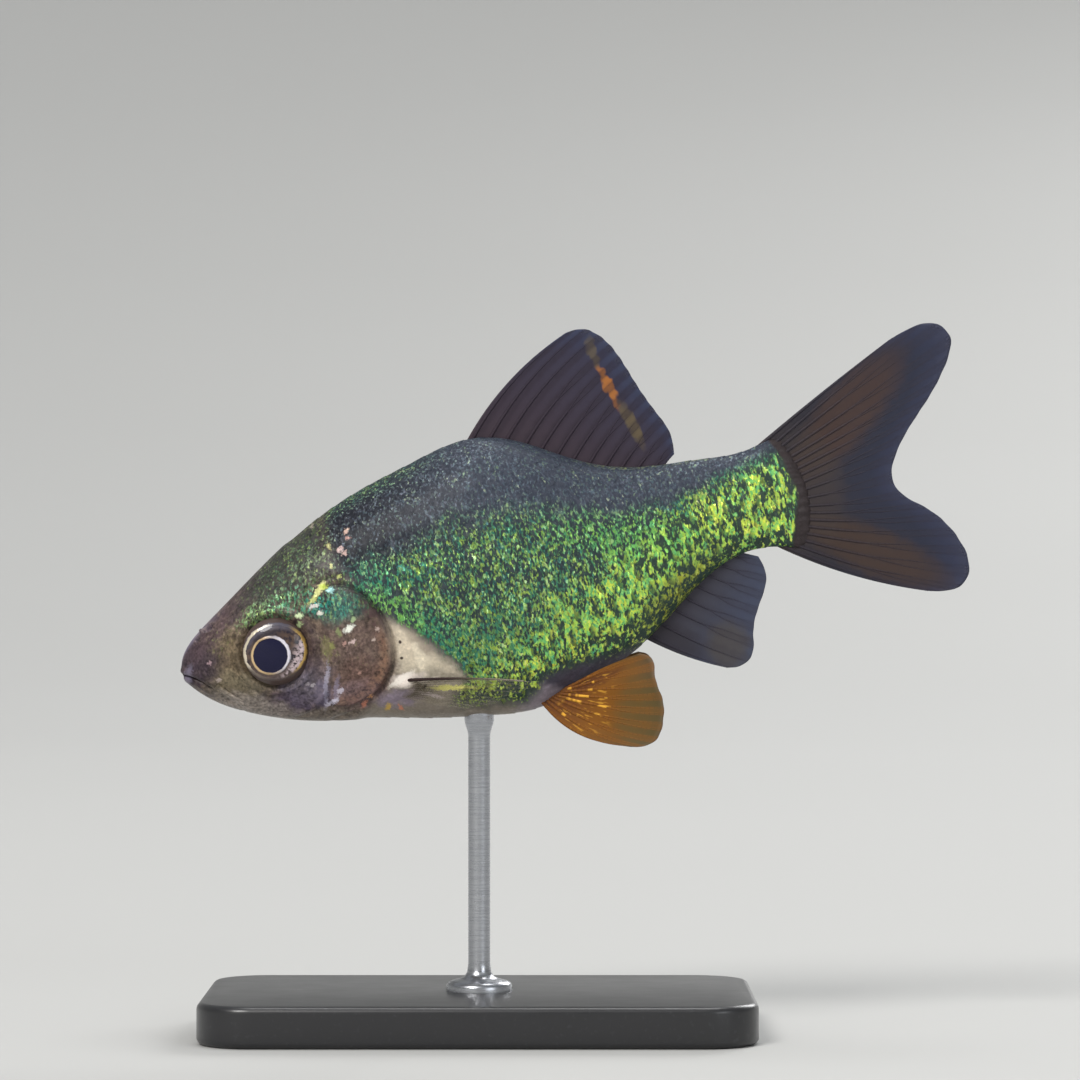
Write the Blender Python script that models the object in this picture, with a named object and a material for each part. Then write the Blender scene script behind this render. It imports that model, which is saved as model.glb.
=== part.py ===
# Green tiger barb, life size, swimming nose down on a small display stand.
# The fish is drawn in its own frame, in millimetres: x runs back from the snout, z up, y to its right.
# to_world tips that frame nose down, sets it over the stand and turns it into metres.

import math

import bmesh
import bpy
import numpy as np
from mathutils import Vector

MM = 0.001
GAP = 0.3  # left between solids that touch
PITCH = math.radians(15.0)  # how far the nose points down
SNOUT_HEIGHT = 27.0  # of the fish frame's origin over the floor
SHARP_EDGE = math.radians(40.0)  # edges that turn more than this are shaded sharp

# The body, snout to tail
SNOUT_X = -0.3
HEAD_END = 12.65
TRUNK_END = 39.35
BODY_END = 46.3
WIDEST_LEVEL = 0.48  # share of the depth, from the belly up, where the body is broadest
BODY_SIDES = 32
# Steps between the body's rings, in the root of the distance behind the snout
HEAD_STEP = 0.14
TRUNK_STEP = 0.16
STEM_STEP = 0.08
# Distance behind the snout, back, belly, half breadth, ridge of the back, ridge of the belly.
# A ridge of 1 is an ellipse, more is a sharper edge and less a flatter one.
STATIONS = (
    (SNOUT_X, -0.9, -0.9, 0.0, 1.00, 1.00),
    (0.4, 0.75, -2.35, 1.25, 1.00, 1.00),
    (2.0, 2.0, -3.85, 2.3, 1.00, 0.95),
    (4.0, 3.2, -5.05, 2.95, 1.00, 0.90),
    (7.0, 5.0, -6.35, 3.45, 1.00, 0.88),
    (10.0, 6.65, -7.2, 3.95, 1.05, 0.88),
    (13.0, 7.95, -7.85, 4.3, 1.10, 0.88),
    (16.0, 8.9, -8.7, 4.5, 1.15, 0.88),
    (20.0, 9.8, -9.6, 4.6, 1.20, 0.90),
    (24.4, 10.35, -10.1, 4.4, 1.20, 0.95),
    (28.0, 9.15, -9.3, 3.9, 1.15, 1.05),
    (32.0, 6.6, -7.95, 3.2, 1.10, 1.10),
    (36.0, 5.15, -5.6, 2.4, 1.05, 1.10),
    (40.0, 4.6, -3.45, 1.75, 1.00, 1.05),
    (43.0, 4.3, -3.1, 1.4, 1.00, 1.00),
    (BODY_END, 4.85, -4.0, 0.95, 0.95, 0.95),
)

# Eyes, seated as flat ellipsoids with the cornea just proud of the cheek
EYE_X = 6.89
EYE_Z = -1.06
EYE_RADIUS = 2.45
EYE_BACK = 1.5  # how far the ball reaches in from its widest circle
CORNEA = 0.95  # how far it reaches out from that circle
EYE_SINK = 0.4  # the widest circle lies this far under the cheek
RIM_RADIUS = 2.95  # of the fold round the orbit
RIM_THICK = 0.28
RIM_SINK = 0.05
RIM_STEPS = 20

# Mouth, as the line between the jaws seen from the side
GAPE = ((-2.0, -0.6), (0.1, -1.2), (1.9, -2.85), (3.1, -3.9), (4.2, -7.9))
GAPE_ACROSS = Vector((0.66, 0.0, 0.75))  # from the lower jaw to the upper
JAW_REACH = 6.0  # half the breadth of the block that parts the jaws
LIP_THICK = 0.33
LIP_TAPER = 0.55  # share of its thickness that a lip loses at the corners
LIP_OFFSET = 0.42  # of a lip's middle from the line of the mouth
LIP_SHARE = 0.56  # of the line of the mouth that the lips follow, from the corner forward
LIP_STEPS = 9
UPPER_LIP_FRONT = 0.22
LOWER_LIP_FRONT = 0.35
LIP_NOSE = 0.1  # how far the middle of a lip lies ahead of its sides

# Barbels, one at each corner of the mouth, lying back along the cheek
BARBEL = ((2.1, -2.35), (2.8, -3.1), (3.7, -3.75))
BARBEL_THICK = 0.25
BARBEL_TAPER = 0.6
BARBEL_LIFT = (0.1, 0.25)  # of the root and of the tip over the cheek
BARBEL_STEPS = 6

# Nostrils, placed by distance behind the snout and angle from the back, with their radius
NARES = ((1.5, 34.0, 0.24), (2.55, 32.0, 0.34))
FLAP_X = 2.0
FLAP_ANGLE = 27.0
FLAP_SIZE = (0.22, 0.34, 0.5)

# Segments and rings of the balls that shape the eyes and of the small ones
EYE_MESH = (20, 10)
SMALL_MESH = (10, 6)

# Gill cover, an outline on the side of the head
COVER_CENTRE = (12.3, -2.0)
COVER_OUTLINE = (
    (11.0, 2.3), (12.6, 2.3), (13.9, 1.35), (14.8, -0.25), (15.2, -2.1), (14.9, -3.9),
    (13.7, -5.4), (11.8, -6.2), (10.0, -5.9), (9.9, -4.2), (10.4, -2.0), (10.5, 0.4),
)
COVER_THICK = 0.85
COVER_PROUD = 0.12
COVER_DOME = 0.22
COVER_SIDES = 24
COVER_RINGS = (0.3, 0.6, 0.85, 1.0)
POCKET_REACH = 1.5  # how far the cutter for a cover's pocket stands out of the body

# Fins: base line and margin from front to back, rays, how far the first and the last ray bow
# forward or up, thickness at the root and rows of points along a ray
FIN_SINK = 1.3  # root length sunk in the body before the cut
FIN_EDGE = 0.5  # thickness at the margin
FIN_TAPER = 0.7  # how evenly a fin thins to its margin: 1 is even, less thins near the root
RAY_HEIGHT = 0.1  # of a ray over the membrane
RAY_VALLEY = -0.4  # depth between two rays, as a share of that height
RAY_FADE = 0.5  # share of its height that a ray loses towards the margin
DORSAL = {
    "base": ((24.5, 0, 10.1), (28.0, 0, 8.9), (32.0, 0, 6.4), (37.8, 0, 4.7)),
    "margin": (
        (33.2, 0, 15.9), (34.4, 0, 15.85), (35.6, 0, 14.9), (36.5, 0, 13.1), (37.2, 0, 10.8),
        (38.1, 0, 8.4), (38.6, 0, 6.9), (38.5, 0, 5.3),
    ),
    "rays": 12, "bow": (0.8, 0.1), "root": 1.1, "rows": 8,
}
ANAL = {
    "base": ((33.3, 0, -7.2), (36.0, 0, -5.4), (38.5, 0, -3.9), (41.4, 0, -2.9)),
    "margin": (
        (38.2, 0, -10.75), (39.3, 0, -10.85), (40.2, 0, -10.3), (40.7, 0, -8.8), (41.8, 0, -6.7),
        (42.7, 0, -4.9), (42.5, 0, -3.5),
    ),
    "rays": 8, "bow": (-0.3, 0.0), "root": 1.0, "rows": 7,
}
CAUDAL = {
    "base": ((45.0, 0, 4.55), (45.7, 0, 2.6), (45.9, 0, 0.4), (45.7, 0, -1.8), (45.0, 0, -3.75)),
    "margin": (
        (55.8, 0, 9.3), (57.6, 0, 9.75), (59.2, 0, 9.65), (60.1, 0, 8.7), (59.3, 0, 6.5), (57.6, 0, 4.6),
        (55.2, 0, 2.4), (53.9, 0, 0.8), (53.4, 0, -0.5), (53.8, 0, -1.8), (55.0, 0, -3.0),
        (56.3, 0, -4.6), (57.1, 0, -6.5), (57.2, 0, -8.1), (56.5, 0, -9.25), (55.0, 0, -9.45), (53.6, 0, -9.05),
    ),
    "rays": 18, "bow": (0.1, -0.45), "root": 1.7, "rows": 9,
}
CAUDAL_PARTING = 0.5  # where the upper lobe ends and the lower one starts
# The left fins of each pair; the right ones are mirrored
PELVIC = {
    "base": ((25.0, -1.1, -9.6), (25.9, -1.3, -9.4), (26.9, -1.45, -9.1)),
    "margin": (
        (29.2, -3.1, -14.0), (30.6, -3.5, -14.5), (31.8, -3.7, -14.3), (32.6, -3.8, -13.2),
        (33.0, -3.8, -11.6), (32.9, -3.6, -9.9), (33.0, -3.2, -8.5), (32.3, -2.9, -8.0),
    ),
    "rays": 9, "bow": (-1.05, 0.25), "root": 0.9, "rows": 7,
}
PECTORAL = {
    "base": ((15.2, -3.4, -5.5), (15.25, -3.2, -6.1), (15.3, -2.9, -6.8)),
    "margin": (
        (23.6, -8.1, -7.55), (24.5, -8.0, -7.9), (24.7, -7.3, -8.2), (24.0, -6.4, -8.5),
        (22.6, -5.5, -8.7), (20.8, -4.8, -8.75), (19.0, -4.4, -8.6),
    ),
    "rays": 11, "bow": (0.25, -0.1), "root": 0.8, "rows": 7,
}

# Display stand
BASE_LENGTH = 40.0
BASE_WIDTH = 24.0
BASE_THICK = 3.0
BASE_CORNER = 4.0
BASE_EDGE = 0.5
CORNER_STEPS = 6
ROD_X = 19.8  # where the rod meets the belly, behind the snout
ROD_RADIUS = 0.8
ROD_SIDES = 20
FOOT_PROFILE = ((2.4, 0.0), (2.4, 0.5), (1.9, 0.75), (1.0, 0.9), (ROD_RADIUS, 1.45))  # radius, height


def natural_spline(knots, values):
    """A smooth curve through values (one row each) at the given knots, as a function."""
    knots = np.asarray(knots, float)
    values = np.asarray(values, float)
    steps = np.diff(knots)
    count = len(knots)
    system = np.eye(count)
    right = np.zeros_like(values)
    for i in range(1, count - 1):
        system[i, i - 1] = steps[i - 1]
        system[i, i] = 2 * (steps[i - 1] + steps[i])
        system[i, i + 1] = steps[i]
        rise = (values[i + 1] - values[i]) / steps[i]
        right[i] = 6 * (rise - (values[i] - values[i - 1]) / steps[i - 1])
    bend = np.linalg.solve(system, right)

    def at(where):
        i = int(np.clip(np.searchsorted(knots, where) - 1, 0, count - 2))
        h = steps[i]
        a = (knots[i + 1] - where) / h
        b = 1 - a
        curved = ((a**3 - a) * bend[i] + (b**3 - b) * bend[i + 1]) * h * h / 6
        return a * values[i] + b * values[i + 1] + curved

    return at


def along(points):
    """A smooth curve through points, from 0 at the first to 1 at the last."""
    points = np.asarray(points, float)
    lengths = np.linalg.norm(np.diff(points, axis=0), axis=1)
    knots = np.concatenate([[0], np.cumsum(lengths)]) / lengths.sum()
    return natural_spline(knots, points)


# The snout is blunt, so the body is smooth in the root of the distance behind it
body_at = natural_spline([math.sqrt(s[0] - SNOUT_X) for s in STATIONS], [s[1:] for s in STATIONS])


def section(x):
    """Middle height, height above and below it, half breadth and ridges of the body at x."""
    back, belly, half, back_ridge, belly_ridge = body_at(math.sqrt(max(x - SNOUT_X, 0.0)))
    middle = belly + WIDEST_LEVEL * (back - belly)
    return middle, back - middle, middle - belly, half, back_ridge, belly_ridge


def skin(x, angle):
    """A point of the body's surface; angle 0 is the back, and it grows over the right side."""
    middle, up, down, half, back_ridge, belly_ridge = section(x)
    high = math.cos(angle)
    share = min(abs(math.sin(angle)), 1.0)
    ridge = back_ridge if high > 0 else belly_ridge
    y = math.copysign(half * share**ridge, math.sin(angle))
    return Vector((x, y, middle + (up if high > 0 else down) * high))


def skin_normal(x, angle):
    step = 0.02
    if x - SNOUT_X < step:
        return Vector((-1, 0, 0))
    lengthwise = skin(x + step, angle) - skin(x - step, angle)
    around = skin(x, angle + step) - skin(x, angle - step)
    return lengthwise.cross(around).normalized()


def side_breadth(x, z):
    """Half the body's breadth at x and height z."""
    middle, up, down, half, back_ridge, belly_ridge = section(x)
    level = (z - middle) / (up if z > middle else down)
    ridge = back_ridge if z > middle else belly_ridge
    return half * max(1 - level * level, 0.0) ** (ridge / 2)


def side_point(x, z, side, out=0.0):
    """A point on one side of the body (-1 left, 1 right), moved out along the surface normal."""
    step = 0.05
    slope_x = (side_breadth(x + step, z) - side_breadth(x - step, z)) / (2 * step)
    slope_z = (side_breadth(x, z + step) - side_breadth(x, z - step)) / (2 * step)
    normal = Vector((-slope_x, 1.0, -slope_z)).normalized()
    point = Vector((x, side_breadth(x, z), z)) + normal * out
    point.y *= side
    return point


def placed_offset():
    """Where the fish frame's origin goes, so that the rod stands on the middle of the base."""
    belly = skin(ROD_X, math.pi)
    ahead = belly.x * math.cos(PITCH) - belly.z * math.sin(PITCH)
    return Vector((-ahead, 0, SNOUT_HEIGHT))


OFFSET = placed_offset()


def to_world(point):
    x = point[0] * math.cos(PITCH) - point[2] * math.sin(PITCH)
    z = point[0] * math.sin(PITCH) + point[2] * math.cos(PITCH)
    return (Vector((x, point[1], z)) + OFFSET) * MM


def material(name, colour, roughness, metallic=0.0):
    made = bpy.data.materials.new(name)
    made.use_nodes = True
    shader = made.node_tree.nodes["Principled BSDF"]
    shader.inputs["Base Color"].default_value = (*colour, 1.0)
    shader.inputs["Roughness"].default_value = roughness
    shader.inputs["Metallic"].default_value = metallic
    return made


def shade(mesh):
    mesh.shade_smooth()
    mesh.set_sharp_from_angle(angle=SHARP_EDGE)


def new_object(name, points, faces, finish, place=to_world):
    """A mesh object from points in the fish's frame, with its faces pointing out."""
    mesh = bpy.data.meshes.new(name)
    mesh.from_pydata([place(p) for p in points], [], faces)
    made = bpy.data.objects.new(name, mesh)
    bpy.context.scene.collection.objects.link(made)
    shape = bmesh.new()
    shape.from_mesh(mesh)
    bmesh.ops.triangulate(shape, faces=[f for f in shape.faces if len(f.verts) > 4])
    bmesh.ops.recalc_face_normals(shape, faces=shape.faces)
    shape.to_mesh(mesh)
    shape.free()
    mesh.materials.append(finish)
    shade(mesh)
    return made


def evaluated_mesh(made):
    """A new mesh of an object with its modifiers."""
    bpy.context.view_layer.update()
    return bpy.data.meshes.new_from_object(made.evaluated_get(bpy.context.evaluated_depsgraph_get()))


def combine(made, tools, operation):
    """Joins closed tools to an object, or cuts them from it, and removes them."""
    group = bpy.data.collections.new(made.name + "_tools")
    bpy.context.scene.collection.children.link(group)
    for tool in tools:
        bpy.context.scene.collection.objects.unlink(tool)
        group.objects.link(tool)
    step = made.modifiers.new(operation.lower(), "BOOLEAN")
    step.operation = operation
    if len(tools) > 1:
        step.operand_type = "COLLECTION"
        step.collection = group
    else:
        step.object = tools[0]
    # Where a lip or a fin folds into itself the exact solver can leave nothing
    for solver in ("EXACT", "MANIFOLD"):
        step.solver = solver
        mesh = evaluated_mesh(made)
        if len(mesh.polygons):
            break
    finish = made.data.materials[0]
    made.modifiers.clear()
    made.data = mesh
    mesh.materials.clear()
    mesh.materials.append(finish)
    for tool in tools:
        bpy.data.objects.remove(tool)
    bpy.data.collections.remove(group)


def keep_largest(made):
    """Drops all but the largest closed surface."""
    shape = bmesh.new()
    shape.from_mesh(made.data)
    left = set(shape.faces)
    shells = []
    while left:
        shell, edge = set(), [left.pop()]
        while edge:
            face = edge.pop()
            shell.add(face)
            near = {f for e in face.edges for f in e.link_faces} & left
            left -= near
            edge.extend(near)
        shells.append(shell)
    shells.sort(key=lambda shell: sum(f.calc_area() for f in shell))
    loose = [f for shell in shells[:-1] for f in shell]
    bmesh.ops.delete(shape, geom=loose, context="FACES")
    bmesh.ops.triangulate(shape, faces=shape.faces)
    bmesh.ops.recalc_face_normals(shape, faces=shape.faces)
    shape.to_mesh(made.data)
    shape.free()
    shade(made.data)


def bands(first, rings, sides, loop=False):
    """Quads between rings of points that follow one another from point number first."""
    faces = []
    for i in range(rings if loop else rings - 1):
        a, c = first + i * sides, first + (i + 1) % rings * sides
        for j in range(sides):
            b = (j + 1) % sides
            faces.append((a + j, a + b, c + b, c + j))
    return faces


def fan(tip, first, sides):
    """Triangles from one point to a ring of points."""
    return [(tip, first + j, first + (j + 1) % sides) for j in range(sides)]


def circle(centre, ahead, radius, sides):
    """A ring of points round a centre, square to the direction ahead."""
    turn = ahead.to_track_quat("Z", "Y")
    angles = [2 * math.pi * j / sides for j in range(sides)]
    return [centre + turn @ Vector((math.cos(a), math.sin(a), 0)) * radius for a in angles]


def body_rings(start, end, step):
    """Distances for the body's rings, closer together towards the snout."""
    first, last = math.sqrt(start - SNOUT_X), math.sqrt(end - SNOUT_X)
    count = max(2, round((last - first) / step))
    return [SNOUT_X + (first + (last - first) * i / count) ** 2 for i in range(count + 1)]


def body_length(name, start, end, finish, step, grow=0.0):
    """A closed length of the body, moved out by grow, with flat ends and a round snout."""
    places = body_rings(start, end, step)
    points, faces = [], []
    if start <= SNOUT_X:
        places = places[1:]
        points.append(Vector((SNOUT_X - grow, 0, skin(SNOUT_X, 0).z)))
        faces += fan(0, 1, BODY_SIDES)
    else:
        faces.append(tuple(range(BODY_SIDES)))
    first = len(points)
    angles = [2 * math.pi * j / BODY_SIDES for j in range(BODY_SIDES)]
    for x in places:
        points += [skin(x, a) + skin_normal(x, a) * grow for a in angles]
    if grow:
        points += [p + Vector((grow, 0, 0)) for p in points[-BODY_SIDES:]]
    faces += bands(first, (len(points) - first) // BODY_SIDES, BODY_SIDES)
    faces.append(tuple(range(len(points) - BODY_SIDES, len(points))))
    return new_object(name, points, faces, finish)


def clearance(finish):
    """The whole body grown by the gap, which cuts what meets the body clear of it."""
    return body_length("clearance", SNOUT_X, BODY_END, finish, HEAD_STEP, GAP)


def ellipsoid(name, centre, sizes, finish, mesh=SMALL_MESH, outer=None, side=1):
    """An ellipsoid; outer, where given, is its reach away from the fish's middle plane."""
    segments, rings = mesh
    points = [Vector((0, 0, 1)), Vector((0, 0, -1))]
    for i in range(1, rings):
        for j in range(segments):
            a, b = math.pi * i / rings, 2 * math.pi * j / segments
            points.append(Vector((math.sin(a) * math.cos(b), math.sin(a) * math.sin(b), math.cos(a))))
    faces = fan(0, 2, segments) + bands(2, rings - 1, segments) + fan(1, len(points) - segments, segments)
    scaled = []
    for p in points:
        reach = outer if outer is not None and p.y * side > 0 else sizes[1]
        scaled.append(Vector(centre) + Vector((p.x * sizes[0], p.y * reach, p.z * sizes[2])))
    return new_object(name, scaled, faces, finish)


def tube(name, path, radii, finish, sides=6):
    """A closed tube along a path, with a radius at each point."""
    points = []
    for i, centre in enumerate(path):
        ahead = path[min(i + 1, len(path) - 1)] - path[max(i - 1, 0)]
        points += circle(centre, ahead, radii[i], sides)
    faces = bands(0, len(path), sides)
    faces += [tuple(range(sides)), tuple(range(len(points) - sides, len(points)))]
    return new_object(name, points, faces, finish)


def ring(name, path, radius, finish, sides=6):
    """A closed loop of tube along a path that comes back to its start."""
    points = []
    for i, centre in enumerate(path):
        points += circle(centre, path[(i + 1) % len(path)] - path[i - 1], radius, sides)
    return new_object(name, points, bands(0, len(path), sides, loop=True), finish)


def prism(name, outline, reach, finish):
    """An outline in x and z, run from side to side of the fish."""
    count = len(outline)
    points = [Vector((x, y, z)) for y in (-reach, reach) for x, z in outline]
    faces = bands(0, 2, count) + [tuple(range(count)), tuple(range(count, 2 * count))]
    return new_object(name, points, faces, finish)


def jaw_block(shift, finish):
    """All that lies under the line of the mouth, moved across it by shift."""
    line = [Vector((x, 0, z)) + GAPE_ACROSS * shift for x, z in GAPE]
    outline = [(p.x, p.z) for p in line] + [(line[0].x, line[-1].z)]
    return prism("jaw_block", outline, JAW_REACH, finish)


def lip(name, shift, front, finish):
    """A roll of skin round the mouth from corner to corner, on one jaw."""
    line = along([(x, 0, z) for x, z in GAPE[:3]])
    left = []
    for i in range(LIP_STEPS):
        p = Vector(line(1 - LIP_SHARE * i / (LIP_STEPS - 1))) + GAPE_ACROSS * shift
        if p.x >= front:
            left.append(Vector((p.x, -side_breadth(p.x, p.z), p.z)))
    nose = Vector((front - LIP_NOSE, 0, left[-1].z + LIP_NOSE * GAPE_ACROSS.z))
    path = left + [nose] + [Vector((p.x, -p.y, p.z)) for p in reversed(left)]
    middle = (len(path) - 1) / 2
    radii = [LIP_THICK * (1 - LIP_TAPER * (i / middle - 1) ** 2) for i in range(len(path))]
    return tube(name, path, radii, finish)


def eye_parts(side, grow, finish, name):
    """The eyeball, or with grow its socket."""
    centre = side_point(EYE_X, EYE_Z, side, -EYE_SINK)
    sizes = (EYE_RADIUS + grow, EYE_BACK + grow, EYE_RADIUS + grow)
    return ellipsoid(name, centre, sizes, finish, EYE_MESH, CORNEA + grow, side)


def orbit_rim(side, finish):
    path = []
    for i in range(RIM_STEPS):
        a = 2 * math.pi * i / RIM_STEPS
        x, z = EYE_X + RIM_RADIUS * math.cos(a), EYE_Z + RIM_RADIUS * math.sin(a)
        path.append(side_point(x, z, side, -RIM_SINK))
    return ring("orbit_rim", path, RIM_THICK, finish)


def barbel(side, finish):
    """A short feeler at the corner of the mouth."""
    line = along(BARBEL)
    path, radii = [], []
    for i in range(BARBEL_STEPS):
        share = i / (BARBEL_STEPS - 1)
        lift = BARBEL_LIFT[0] + (BARBEL_LIFT[1] - BARBEL_LIFT[0]) * share
        path.append(side_point(*line(share), side, lift))
        radii.append(BARBEL_THICK * (1 - BARBEL_TAPER * share))
    return tube("barbel", path, radii, finish)


def nasal_flap(side, finish):
    where = skin(FLAP_X, math.radians(FLAP_ANGLE) * side)
    return ellipsoid("nasal_flap", where, FLAP_SIZE, finish)


def nostril(side, place, finish):
    x, angle, radius = place
    where = skin(x, math.radians(angle) * side)
    return ellipsoid("nostril", where, (radius, radius, radius), finish)


def gill_cover(name, side, grow, inner, outer, dome, finish):
    """A domed plate with the gill cover's outline, that follows the side of the body."""
    closed = along((*COVER_OUTLINE, COVER_OUTLINE[0]))
    centre = np.array(COVER_CENTRE)
    edge = []
    for i in range(COVER_SIDES):
        away = np.array(closed(i / COVER_SIDES)) - centre
        edge.append(away * (1 + grow / np.linalg.norm(away)))
    points, faces = [], []
    for outside in (True, False):
        first = len(points)
        points.append(side_point(*centre, side, outer + dome if outside else -inner))
        for share in COVER_RINGS:
            lift = outer + dome * (1 - share**2) if outside else -inner
            points += [side_point(*(centre + away * share), side, lift) for away in edge]
        faces += fan(first, first + 1, COVER_SIDES)
        faces += bands(first + 1, len(COVER_RINGS), COVER_SIDES)
    rim, other = len(points) // 2 - COVER_SIDES, len(points) - COVER_SIDES
    for j in range(COVER_SIDES):
        b = (j + 1) % COVER_SIDES
        faces.append((rim + j, rim + b, other + b, other + j))
    return new_object(name, points, faces, finish)


def cover_pocket(side, finish):
    return gill_cover("cover_pocket", side, GAP, COVER_THICK + GAP, POCKET_REACH, 0.0, finish)


def fin_sheet(shape, first, last):
    """A fin's middle surface, in columns from root to margin, and half its thickness there.

    first and last bound the share of the fin that is made; a side that is parted from the
    rest of the fin keeps half the gap."""
    base, margin = along(shape["base"]), along(shape["margin"])
    columns, rows = 2 * round(shape["rays"] * (last - first)) + 1, shape["rows"]
    middle, thick = np.zeros((columns, rows, 3)), np.zeros((columns, rows))
    for i in range(columns):
        u = first + (last - first) * i / (columns - 1)
        root, tip = np.array(base(u)), np.array(margin(u))
        ray = (tip - root) / np.linalg.norm(tip - root)
        forward = np.array((-ray[2], 0, ray[0]))
        root = root - ray * FIN_SINK
        bow = shape["bow"][0] * (1 - u) + shape["bow"][1] * u
        outer_column = i in (0, columns - 1)
        inset = 0
        if i == 0 and first > 0:
            inset = -GAP / 2
        if i == columns - 1 and last < 1:
            inset = GAP / 2
        for j in range(rows):
            v = j / (rows - 1)
            middle[i, j] = root + (tip - root) * v + forward * (bow * 4 * v * (1 - v) + inset)
            ridge = 0 if outer_column else RAY_HEIGHT * (1 if i % 2 else RAY_VALLEY) * (1 - RAY_FADE * v)
            thick[i, j] = (shape["root"] + (FIN_EDGE - shape["root"]) * v**FIN_TAPER) / 2 + ridge
    return middle, thick


def fin_faces(columns, rows):
    """Triangles alike on both faces of a fin, and quads round its edge."""
    count = columns * rows
    faces = []
    for i in range(columns - 1):
        for j in range(rows - 1):
            a, b = i * rows + j, (i + 1) * rows + j
            for start in (0, count):
                faces += [(start + a, start + b, start + b + 1), (start + a, start + b + 1, start + a + 1)]
    rim = [i * rows for i in range(columns)]
    rim += [(columns - 1) * rows + j for j in range(1, rows)]
    rim += [i * rows + rows - 1 for i in reversed(range(columns - 1))]
    rim += [j for j in reversed(range(1, rows - 1))]
    for a, b in zip(rim, rim[1:] + rim[:1]):
        faces.append((a, b, count + b, count + a))
    return faces


def fin(name, shape, finish, first=0.0, last=1.0, side=-1):
    """A fin with its rays raised on both faces, cut off just clear of the body."""
    middle, thick = fin_sheet(shape, first, last)
    normal = np.cross(np.gradient(middle, axis=0), np.gradient(middle, axis=1))
    normal /= np.linalg.norm(normal, axis=2, keepdims=True)
    points = []
    for sign in (1, -1):
        for p in (middle + sign * normal * thick[..., None]).reshape(-1, 3):
            points.append(Vector((p[0], p[1] * -side, p[2])))
    made = new_object(name, points, fin_faces(*thick.shape), finish)
    combine(made, [clearance(finish)], "DIFFERENCE")
    keep_largest(made)


def head_and_jaw(flesh):
    """The head with orbits, nostrils, lips and a pocket for each gill cover, and the lower jaw."""
    head = body_length("head", SNOUT_X, HEAD_END, flesh, HEAD_STEP)
    jaw = body_length("lower_jaw", SNOUT_X, HEAD_END, flesh, HEAD_STEP)
    added = [lip("upper_lip", LIP_OFFSET, UPPER_LIP_FRONT, flesh)]
    removed = [jaw_block(GAP / 2, flesh)]
    for side in (-1, 1):
        added += [orbit_rim(side, flesh), nasal_flap(side, flesh)]
        removed += [eye_parts(side, GAP, flesh, "socket"), cover_pocket(side, flesh)]
        removed += [nostril(side, place, flesh) for place in NARES]
    combine(head, added, "UNION")
    combine(head, removed, "DIFFERENCE")
    combine(head, [barbel(side, flesh) for side in (-1, 1)], "UNION")
    keep_largest(head)
    combine(jaw, [lip("lower_lip", -LIP_OFFSET, LOWER_LIP_FRONT, flesh)], "UNION")
    combine(jaw, [jaw_block(-GAP / 2, flesh)], "INTERSECT")
    keep_largest(jaw)


def trunk_and_stem(flesh, scaled):
    trunk = body_length("trunk", HEAD_END + GAP, TRUNK_END, scaled, TRUNK_STEP)
    combine(trunk, [cover_pocket(side, scaled) for side in (-1, 1)], "DIFFERENCE")
    keep_largest(trunk)
    body_length("tail_stem", TRUNK_END + GAP, BODY_END, scaled, STEM_STEP)
    for side, name in ((-1, "left"), (1, "right")):
        gill_cover("gill_cover_" + name, side, 0.0, COVER_THICK, COVER_PROUD, COVER_DOME, flesh)


def plate_outline():
    """The base's outline, anticlockwise, with round corners."""
    outline = []
    for corner, (along_x, along_y) in enumerate(((1, 1), (-1, 1), (-1, -1), (1, -1))):
        x = along_x * (BASE_LENGTH / 2 - BASE_CORNER)
        y = along_y * (BASE_WIDTH / 2 - BASE_CORNER)
        for i in range(CORNER_STEPS + 1):
            a = math.pi / 2 * (corner + i / CORNER_STEPS)
            outline.append(Vector((x + BASE_CORNER * math.cos(a), y + BASE_CORNER * math.sin(a), 0)))
    return outline


def stand_base(finish):
    """A flat plate with round corners and a small bevel."""
    shape = bmesh.new()
    plate = shape.faces.new([shape.verts.new(p * MM) for p in plate_outline()])
    made = bmesh.ops.extrude_face_region(shape, geom=[plate])
    top = [v for v in made["geom"] if isinstance(v, bmesh.types.BMVert)]
    bmesh.ops.translate(shape, verts=top, vec=(0, 0, BASE_THICK * MM))
    level = MM / 100
    edges = [e for e in shape.edges if abs(e.verts[0].co.z - e.verts[1].co.z) < level]
    bmesh.ops.bevel(shape, geom=edges, offset=BASE_EDGE * MM, segments=2, profile=0.5, affect="EDGES")
    bmesh.ops.recalc_face_normals(shape, faces=shape.faces)
    mesh = bpy.data.meshes.new("stand_base")
    shape.to_mesh(mesh)
    shape.free()
    mesh.materials.append(finish)
    shade(mesh)
    bpy.context.scene.collection.objects.link(bpy.data.objects.new("stand_base", mesh))


def stand_rod(finish):
    """A turned rod with a foot, whose top is cut to lie along the belly."""
    foot = BASE_THICK + GAP
    profile = [(radius, foot + height) for radius, height in FOOT_PROFILE]
    profile.append((ROD_RADIUS, SNOUT_HEIGHT))
    points = []
    for radius, z in profile:
        points += circle(Vector((0, 0, z)), Vector((0, 0, 1)), radius, ROD_SIDES)
    faces = bands(0, len(profile), ROD_SIDES)
    faces += [tuple(range(ROD_SIDES)), tuple(range(len(points) - ROD_SIDES, len(points)))]
    made = new_object("stand_rod", points, faces, finish, lambda p: p * MM)
    combine(made, [clearance(finish)], "DIFFERENCE")
    keep_largest(made)


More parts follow.
